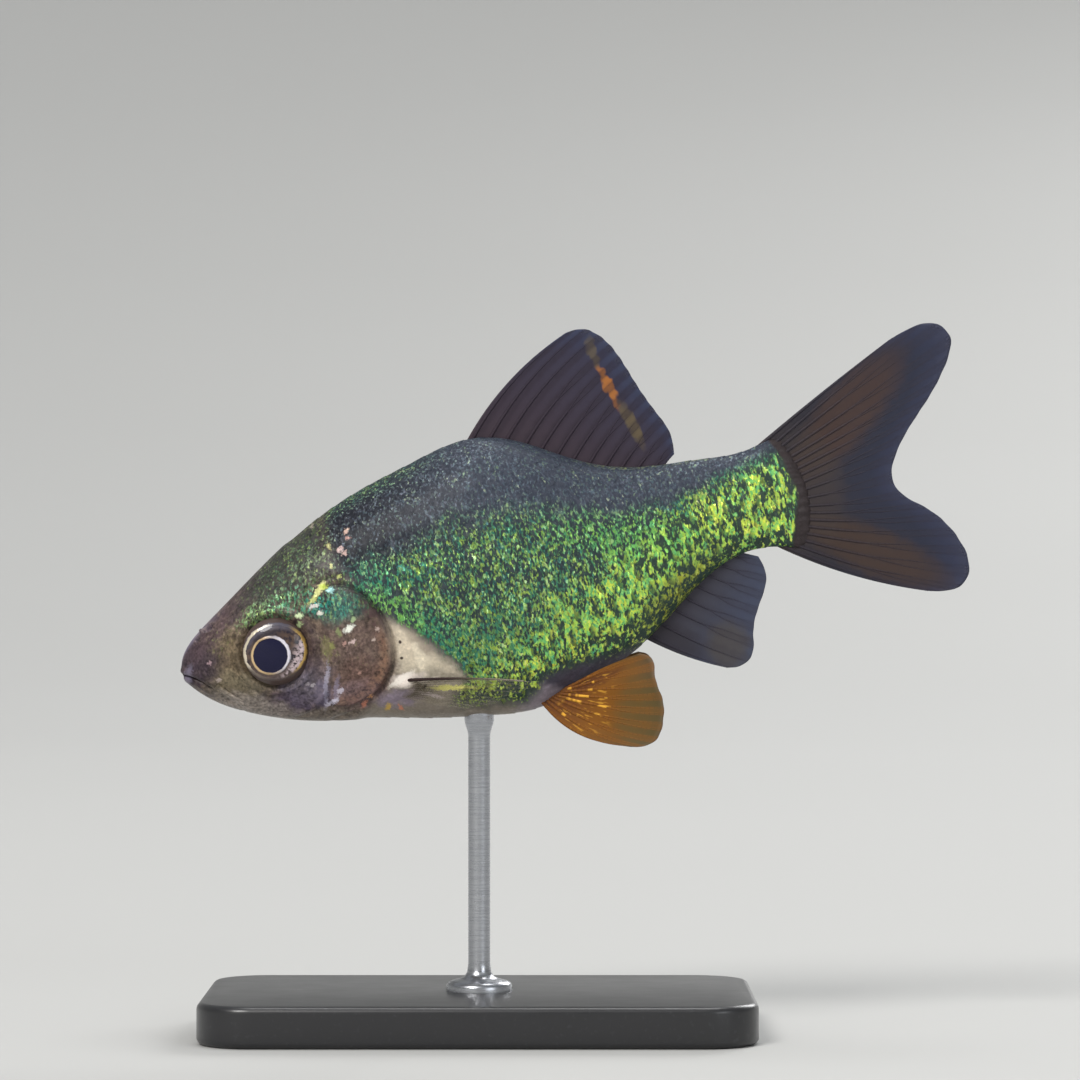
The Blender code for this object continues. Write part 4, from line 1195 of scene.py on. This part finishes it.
finForm = {
    "sink": 1.3,                # root length inside the body
    "membrane": (0.1, 0.05),    # thickness at the root and at the margin
    "rayRadius": (0.15, 0.1, 0.05, 0.03),   # at the root, first fork, second fork and tip
    "forks": (0.42, 0.72),      # share of the ray's length where it splits in two, and in four
    "forkSpread": (0.19, 0.1),  # share of the space between two rays
    "past": (0.03, 0.02),       # how far a stem and a branch go on past their forks
    "reach": (0.985, 0.99),     # where the unforked rays and the twigs end
    "thinner": (0.75, 0.8),     # of a branch and a twig at their forks
    "joints": 26,
    "jointDepth": 0.1,
    "notch": 0.004,             # how far the margin is drawn in between two rays
    "sides": 8,
    "across": 8,                # cells from ray to ray
    "rows": 54,
    "tubeSteps": 130,
}

fins = {
    "dorsal": {
        "base": ((24.5, 10.1), (28.0, 8.9), (32.0, 6.4), (37.8, 4.7)),
        "margin": (
            (33.2, 15.9), (34.4, 15.85), (35.6, 14.9), (36.5, 13.1), (37.2, 10.8),
            (38.1, 8.4), (38.6, 6.9), (38.5, 5.3),
        ),
        "rays": 12, "bow": (0.8, 0.1), "plain": 3, "wave": 0.05,
        "colours": ((0.0, (64, 52, 59)), (0.35, (58, 49, 61)), (0.8, (54, 51, 69)), (1.0, (52, 59, 86))),
        "ray": (42, 34, 44), "alpha": 0.92, "streaks": 0.5,
        "marks": (
            (35.15, 11.3, 0.3, 1.5, 12, (176, 110, 48), 0.85), (34.7, 14.0, 0.3, 1.0, 5, (110, 96, 62), 0.5),
            (36.1, 8.2, 0.3, 1.6, 12, (122, 106, 62), 0.5),
        ),
    },
    "anal": {
        "base": ((33.3, -7.2), (36.0, -5.4), (38.5, -3.9), (41.4, -2.9)),
        "margin": (
            (38.2, -10.75), (39.3, -10.85), (40.2, -10.3), (40.7, -8.8), (41.8, -6.7),
            (42.7, -4.9), (42.5, -3.5),
        ),
        "rays": 8, "bow": (-0.3, 0.0), "plain": 2, "wave": 0.05,
        "colours": ((0.0, (58, 52, 60)), (0.4, (59, 59, 70)), (1.0, (63, 69, 90))),
        "ray": (50, 47, 57), "alpha": 0.92, "streaks": 0.25,
        "marks": (
            (38.7, -9.2, 1.4, 1.6, -20, (76, 69, 60), 0.6),
            (34.6, -7.6, 2.4, 1.0, -35, (44, 40, 46), 0.6),
        ),
    },
    "caudal": {
        "base": ((45.0, 4.55), (45.7, 2.6), (45.9, 0.4), (45.7, -1.8), (45.0, -3.75)),
        "margin": (
            (55.8, 9.3), (57.6, 9.75), (59.2, 9.65), (60.1, 8.7), (59.3, 6.5),
            (57.6, 4.6), (55.2, 2.4), (53.9, 0.8), (53.4, -0.5), (53.8, -1.8),
            (55.0, -3.0), (56.3, -4.6), (57.1, -6.5), (57.2, -8.1), (56.5, -9.25),
            (55.0, -9.45), (53.6, -9.05),
        ),
        "rays": 19, "bow": (0.1, -0.45), "plain": 1, "wave": 0.1,
        "colours": ((0.0, (58, 51, 51)), (0.3, (44, 42, 50)), (0.8, (42, 45, 62)), (1.0, (52, 56, 80))),
        "ray": (50, 46, 54), "alpha": 0.92, "streaks": 0.2,
        "marks": (
            (51.4, 4.8, 5.2, 1.7, 36, (74, 54, 45), 0.7), (50.8, -5.4, 5.0, 1.5, -38, (72, 54, 42), 0.7),
            (47.8, 0.6, 1.8, 3.4, 0, (66, 57, 54), 0.6),
        ),
    },
    "pelvic": {
        "base": ((25.0, -1.1, -9.6), (25.9, -1.3, -9.4), (26.9, -1.45, -9.1)),
        "margin": (
            (29.2, -3.1, -14.0), (30.6, -3.5, -14.5), (31.8, -3.7, -14.3), (32.6, -3.8, -13.2),
            (33.0, -3.8, -11.6), (32.9, -3.6, -9.9), (33.0, -3.2, -8.5), (32.3, -2.9, -8.0),
        ),
        "rays": 9, "bow": (-1.05, 0.25), "plain": 1, "wave": 0.0,
        "colours": (
            (0.0, (90, 74, 76)), (0.2, (100, 58, 28)), (0.5, (126, 78, 20)), (0.8, (106, 72, 28)),
            (0.95, (86, 68, 42)), (1.0, (116, 96, 76)),
        ),
        "ray": (132, 82, 26), "alpha": 0.94, "streaks": 0.35, "flecks": ((236, 176, 62), 0.9, 0.22, 0.5),
        "marks": (
            (31.4, -12.3, 1.8, 2.4, -20, (92, 80, 46), 0.6),
            (28.0, -9.2, 2.6, 0.4, 10, (76, 36, 20), 0.7),
        ),
    },
    "pectoral": {
        "base": ((15.2, -3.4, -5.5), (15.25, -3.2, -6.1), (15.3, -2.9, -6.8)),
        "margin": (
            (23.6, -8.1, -7.55), (24.5, -8.0, -7.9), (24.7, -7.3, -8.2), (24.0, -6.4, -8.5),
            (22.6, -5.5, -8.7), (20.8, -4.8, -8.75), (19.0, -4.4, -8.6),
        ),
        "rays": 11, "bow": (0.25, -0.1), "plain": 1, "wave": 0.0,
        "colours": ((0.0, (150, 136, 112)), (0.5, (140, 134, 112)), (1.0, (150, 148, 136))),
        "ray": (136, 124, 108), "edge": (50, 38, 36), "alpha": 0.05, "rayAlpha": 0.07, "streaks": 0.35,
        "unforked": True,
        "marks": (),
    },
}


def finPoint(shape, u, v, side=-1):
    # a point of a fin, across from ray to ray and along from root to margin
    u, v = np.broadcast_arrays(np.asarray(u, float), np.asarray(v, float))
    lines = [[(p[0], sum(p[1:-1]), p[-1]) for p in shape[edge]] for edge in ("base", "margin")]
    root, tip = [along(line)(u) for line in lines]
    ray = (tip - root) / np.linalg.norm(tip - root, axis=-1, keepdims=True)
    still = np.zeros(u.shape)
    forward = np.stack([-ray[..., 2], still, ray[..., 0]], -1)
    root = root - ray * finForm["sink"]
    bow = shape["bow"][0] * (1 - u) + shape["bow"][1] * u
    points = root + (tip - root) * v[..., None] + forward * (bow * 4 * v * (1 - v))[..., None]
    sway = shape["wave"] * np.sin(5.0 * u + 3.0 * v) * v
    return points * (1, -side, 1) + np.stack([still, sway, still], -1)


def finMembrane(shape, side):
    columns, rows = shape["rays"] * finForm["across"] + 1, finForm["rows"]
    u = np.linspace(0, 1, columns)[:, None]
    notches = finForm["notch"] * (0.5 + 0.5 * np.cos(2 * math.pi * u * shape["rays"]))
    v = np.linspace(0, 1, rows)[None] * (1 - notches)
    middle = finPoint(shape, u, v, side)
    normal = np.cross(np.gradient(middle, axis=0), np.gradient(middle, axis=1))
    normal /= np.linalg.norm(normal, axis=-1, keepdims=True)
    atRoot, atMargin = finForm["membrane"]
    half = normal * (atRoot + (atMargin - atRoot) * np.sqrt(v))[..., None] / 2
    points = np.concatenate([(middle + half).reshape(-1, 3), (middle - half).reshape(-1, 3)])
    mesh = newMesh("membrane", toWorld(points), sheetFaces(columns, rows))
    place = np.stack([np.broadcast_to(u, v.shape), v, np.zeros(v.shape)], -1).reshape(-1, 3)
    setAttribute(mesh, "ray", np.concatenate([place, place]))
    closeUp(mesh)
    return mesh


def rayLines(shape):
    # every ray as lines of u, v and radius: a stem, two branches and four twigs
    first, second = finForm["forks"]
    steps, rays = finForm["tubeSteps"], shape["rays"]
    near, far = np.array(finForm["forkSpread"]) / rays
    thick, stem, branch, tip = finForm["rayRadius"]
    (stemOn, branchOn), (rayEnd, twigEnd) = finForm["past"], finForm["reach"]
    branchThin, twigThin = finForm["thinner"]
    lines = []
    for centre in (np.arange(rays) + 0.5) / rays:
        if centre * rays < shape["plain"] or "unforked" in shape:
            v = np.linspace(0, rayEnd, steps)
            lines.append((np.full(v.shape, centre - 0.2 / rays), v, thick + (tip - thick) * v))
            continue
        v = np.linspace(0, first + stemOn, int(steps * first))
        lines.append((np.full(v.shape, centre), v, np.interp(v, (0, first), (thick, stem))))
        for one in (-1, 1):
            v = np.linspace(first, second + branchOn, int(steps * (second - first)))
            u = centre + one * near * ease(v, first, second)
            lines.append((u, v, np.interp(v, (first, second), (stem * branchThin, branch))))
            for two in (-1, 1):
                v = np.linspace(second, twigEnd, int(steps * (1 - second)))
                u = centre + one * near + two * far * ease(v, second, 1.1)
                lines.append((u, v, np.interp(v, (second, 1), (branch * twigThin, tip))))
    return lines


def rayMesh(shape, side):
    points, edges, thick, place = [], [], [], []
    for u, v, radius in rayLines(shape):
        edges += [(i, i + 1) for i in range(len(points), len(points) + len(v) - 1)]
        points += finPoint(shape, u, v, side).tolist()
        joint = np.abs((v * finForm["joints"]) % 1 - 0.5) > 0.38
        thick += (radius * (1 - finForm["jointDepth"] * joint) * mm).tolist()
        place += np.stack([u, v, np.ones(len(v))], 1).tolist()
    mesh = newMesh("rays", toWorld(points), [], edges)
    setAttribute(mesh, "thick", thick, "FLOAT")
    setAttribute(mesh, "ray", place)
    return mesh


def rayTree():
    # a round ray along every line, joined to the membrane
    inputs = (("Membrane", "Object"), ("Sides", "Int"), ("Finish", "Material"))
    tree, graph, given = geometryTree("finRays", inputs)
    lines = graph.node("GeometryNodeMeshToCurve", None, {"Mesh": given["Geometry"]})
    ring = {"Resolution": given["Sides"], "Radius": 1.0}
    inputs = {
        "Curve": lines, "Profile Curve": graph.node("GeometryNodeCurvePrimitiveCircle", None, ring),
        "Scale": named(graph, "thick", "FLOAT"), "Fill Caps": True,
    }
    parts = [graph.node("GeometryNodeCurveToMesh", None, inputs), objectShape(graph, given["Membrane"])]
    endTree(graph, graph.node("GeometryNodeJoinGeometry", None, {"Geometry": parts}), given["Finish"])
    return tree


def finPaint(graph, shape):
    place = fishPlace(graph)
    u, v, onRay = graph.attribute("ray")
    flat = graph.vector("MULTIPLY", place, (1, 0, 1))
    wander = graph.swing(graph.noise(place, 0.8, 2.0, "Color"))
    spread = graph.vector("MULTIPLY", graph.vector("ADD", flat, wander), (1, 0, 1))
    colour = graph.ramp(v, shape["colours"])
    colour = addMarks(graph, colour, spread, shape["marks"])
    cell = (u * shape["rays"]).math("FRACT")
    streak = (cell - 0.5).math("ABSOLUTE").between(0.42, 0.12)
    fleck = graph.noise(graph.vector("MULTIPLY", place, (0.6, 1, 0.6)), 0.35, 4.0)
    dark = graph.mix(streak * shape["streaks"] + (fleck - 0.5) * 0.5, colour, shape["ray"])
    joint = ((v * finForm["joints"]).math("FRACT") - 0.5).math("ABSOLUTE").between(0.36, 0.46)
    rayTone = graph.mix(joint * 0.35, graph.mix(0.55, colour, shape["ray"]), (40, 34, 40))
    colour = graph.mix(onRay, dark, rayTone)
    if "flecks" in shape:
        bright, strength, low, high = shape["flecks"]
        spots = graph.noise(graph.join(u * shape["rays"] * 3.2, v * 9.0), 1.0, 2.0).between(0.57, 0.66)
        spots = spots * v.between(low - 0.1, low) * v.between(high + 0.15, high)
        colour = graph.mix(spots * strength * (onRay * 0.5 + 0.5), colour, bright)
    leading = u.between(1.6 / shape["rays"], 0.4 / shape["rays"])
    if "edge" in shape:
        colour = graph.mix(leading * v.between(1.0, 0.4), colour, shape["edge"])
    bare = shape.get("rayAlpha", 1 - shape["alpha"])
    alpha = onRay * (bare + leading * (1 - shape["alpha"] - bare)) + shape["alpha"]
    alpha = alpha - v.between(0.9, 1.0) * 0.08
    return {
        "Base Color": colour, "Roughness": 0.5 + fleck * 0.15, "Alpha": alpha,
        "Normal": graph.bump(fleck, 0.015), "Specular IOR Level": 0.18,
    }


finTree = rayTree()


def addFin(name, kind, slot, nodes, side=-1):
    shape = fins[kind]
    label = kind + " fin"
    finish = bpy.data.materials.get(label) or newFinish(label, lambda graph: finPaint(graph, shape))
    membrane = newObject("membrane", finMembrane(shape, side))
    values = {"Membrane": membrane, "Sides": finForm["sides"], "Finish": finish}
    piece = grown(name, rayMesh(shape, side), finTree, values)
    bpy.data.objects.remove(membrane)
    addPiece(piece, slot, *nodes)


addFin("back_fin", "dorsal", "dusky_fin", ["dorsal_fin"])
addFin("vent_fin", "anal", "dusky_fin", ["anal_fin"])
addFin("tail_fin", "caudal", "dusky_fin", ["caudal_fin_upper", "caudal_fin_lower"])
for side, name in ((-1, "left"), (1, "right")):
    addFin("belly_fin_" + name, "pelvic", "orange_fin", ["pelvic_fin_" + name], side)
    addFin("breast_fin_" + name, "pectoral", "clear_fin", ["pectoral_fin_" + name], side)


# Stand, a satin plate and a turned steel rod

stand = {
    "corner": 4.0,
    "cornerSteps": 16,
    "edge": 0.5,
    "rodRadius": 0.8,
    "intoBody": 0.9,            # how far the rod's end goes into the belly
    "foot": (
        (0.0, 2.4), (0.35, 2.4), (0.55, 2.3), (0.7, 2.05), (0.85, 1.5), (1.0, 1.1), (1.35, 0.88),
        (2.0, 0.8),
    ),
    "collar": 0.28,             # how much wider the rod is where it meets the belly
    "collarLength": 1.6,
    "collarSteps": 12,
    "sides": 64,
}


def platePaint(graph):
    place = fishPlace(graph)
    dust = graph.noise(place, 0.4, 5.0)
    worn = graph.noise(place, 6.0, 3.0)
    colour = graph.mix(dust.between(0.55, 0.8) * 0.35, (26, 26, 29), (60, 60, 64))
    scuffs = graph.noise(graph.vector("MULTIPLY", place, (0.15, 2.0, 1.0)), 0.6, 3.0)
    rough = 0.26 + worn * 0.16 + scuffs * 0.08
    return {"Base Color": colour, "Roughness": rough, "Normal": graph.bump(scuffs, 0.004)}


def steelPaint(graph):
    where = graph.node("ShaderNodeTexCoord", None, None, "Object")
    lines = graph.noise(graph.vector("MULTIPLY", where, (0.05, 0.05, 1)), 0.00012, 2.0)
    colour = graph.mix(lines, (150, 152, 158), (190, 192, 196))
    normal = graph.bump(lines, 0.002)
    return {"Base Color": colour, "Roughness": 0.2 + lines * 0.16, "Metallic": 1.0, "Normal": normal}


def plateMesh():
    low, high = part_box("stand_base")
    radius = stand["corner"] * mm
    shape = bmesh.new()
    outline = []
    for corner, (alongX, alongY) in enumerate(((1, 1), (-1, 1), (-1, -1), (1, -1))):
        x = (high.x if alongX > 0 else low.x) - alongX * radius
        y = (high.y if alongY > 0 else low.y) - alongY * radius
        for i in range(stand["cornerSteps"] + 1):
            a = math.pi / 2 * (corner + i / stand["cornerSteps"])
            outline.append(shape.verts.new((x + radius * math.cos(a), y + radius * math.sin(a), low.z)))
    made = bmesh.ops.extrude_face_region(shape, geom=[shape.faces.new(outline)])
    top = [v for v in made["geom"] if isinstance(v, bmesh.types.BMVert)]
    bmesh.ops.translate(shape, verts=top, vec=(0, 0, high.z - low.z))
    edges = [e for e in shape.edges if abs(e.verts[0].co.z - e.verts[1].co.z) < 1e-5]
    bmesh.ops.bevel(shape, geom=edges, offset=stand["edge"] * mm, segments=5, profile=0.5, affect="EDGES")
    bmesh.ops.recalc_face_normals(shape, faces=shape.faces)
    mesh = bpy.data.meshes.new("plate")
    shape.to_mesh(mesh)
    shape.free()
    mesh.shade_smooth()
    mesh.set_sharp_from_angle(angle=math.radians(30))
    return mesh


def rodMesh():
    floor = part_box("stand_base")[1].z / mm
    belly = toWorld(bodyPoint(pose["rodAt"], math.pi))[2] / mm
    profile = [(floor + height, radius) for height, radius in stand["foot"]]
    low, rise = belly - stand["collarLength"], stand["collarLength"] + stand["intoBody"]
    for share in np.linspace(0, 1, stand["collarSteps"]):
        profile.append((low + share * rise, stand["rodRadius"] + stand["collar"] * ease(share, 0.1, 0.6)))
    points = [(radius * x, radius * y, z) for z, radius in profile for x, y in circle(stand["sides"])]
    mesh = newMesh("rod", np.array(points) * mm, tubeFaces(len(profile), stand["sides"]))
    closeUp(mesh)
    mesh.set_sharp_from_angle(angle=math.radians(50))
    return mesh


plateFinish = newFinish("satin black plate", platePaint, {"Coat Weight": 0.3, "Coat Roughness": 0.2})
addPiece(newObject("foot_plate", plateMesh(), plateFinish), "stand_plate", "stand_base")
addPiece(newObject("rod", rodMesh(), newFinish("turned steel", steelPaint)), "stand_steel", "stand_rod")


# Floor, light and camera

studio = {
    "floor": (176, 176, 174),
    "floorFlat": 0.5,           # metres of level floor round the stand
    "floorRise": 1.2,
    "floorSteps": (96, 14),     # round the floor, and up its edge
    "world": (0.9, 0.93, 0.96, 1.0),
    "worldStrength": 0.4,
    # place, size, power and colour of each soft light
    "lights": (
        ("key", (-0.5, -0.85, 0.95), 0.55, 14.0, (1.0, 0.98, 0.95)),
        ("fill", (0.8, -0.9, 0.4), 0.6, 3.0, (0.92, 0.96, 1.0)),
        ("top", (0.1, 0.2, 1.1), 0.6, 6.0, (1.0, 1.0, 1.0)),
        ("rim", (0.5, 0.9, 0.6), 0.5, 5.0, (1.0, 1.0, 1.0)),
    ),
    "lightsAim": (0.0, 0.0, 0.03),
    "lens": 150.0,
    "distance": 328.0,          # from the lens to the fish's middle plane, mm
    "aim": (4.43, 35.82),       # the point in the picture's middle, mm
}


def floorMesh():
    # a level round floor that curves up at its edge
    flat, rise = studio["floorFlat"], studio["floorRise"]
    sides, steps = studio["floorSteps"]
    profile = [(flat * share, 0.0) for share in (0.2, 0.5, 1.0)]
    for a in np.linspace(0.1, math.pi / 2, steps):
        profile.append((flat + rise * math.sin(a), rise * (1 - math.cos(a))))
    points = [(0.0, 0.0, 0.0)]
    for radius, z in profile:
        points += [(radius * x, radius * y, z) for x, y in circle(sides)]
    mesh = newMesh("floor", points, fanFaces(len(profile), sides))
    mesh.flip_normals()
    mesh.shade_smooth()
    return mesh


def floorPaint(graph):
    where = graph.node("ShaderNodeTexCoord", None, None, "Object")
    cloud = graph.noise(where, 0.3, 2.0)
    return {"Base Color": graph.mix(cloud * 0.15, studio["floor"], (206, 206, 206)), "Roughness": 0.75}


newObject("floor", floorMesh(), newFinish("pale floor", floorPaint))


def addLight(name, place, size, power, colour):
    light = bpy.data.lights.new(name, "AREA")
    light.shape = "DISK"
    light.size = size
    light.energy = power
    light.color = colour
    made = bpy.data.objects.new(name, light)
    made.location = place
    aim = Vector(studio["lightsAim"]) - made.location
    made.rotation_euler = aim.to_track_quat("-Z", "Y").to_euler()
    made.visible_camera = False
    bpy.context.scene.collection.objects.link(made)


for each in studio["lights"]:
    addLight(*each)
world = bpy.data.worlds.new("soft room")
world.use_nodes = True
world.node_tree.nodes["Background"].inputs["Color"].default_value = studio["world"]
world.node_tree.nodes["Background"].inputs["Strength"].default_value = studio["worldStrength"]
bpy.context.scene.world = world
bpy.context.scene.view_settings.view_transform = "Standard"

lens = bpy.data.cameras.new("camera")
lens.lens = studio["lens"]
lens.clip_start = 0.01
camera = bpy.data.objects.new("camera", lens)
camera.location = (studio["aim"][0] * mm, -studio["distance"] * mm, studio["aim"][1] * mm)
camera.rotation_euler = (math.pi / 2, 0, 0)
bpy.context.scene.collection.objects.link(camera)
bpy.context.scene.camera = camera
print("studio: ", len(studio["lights"]), "lights")
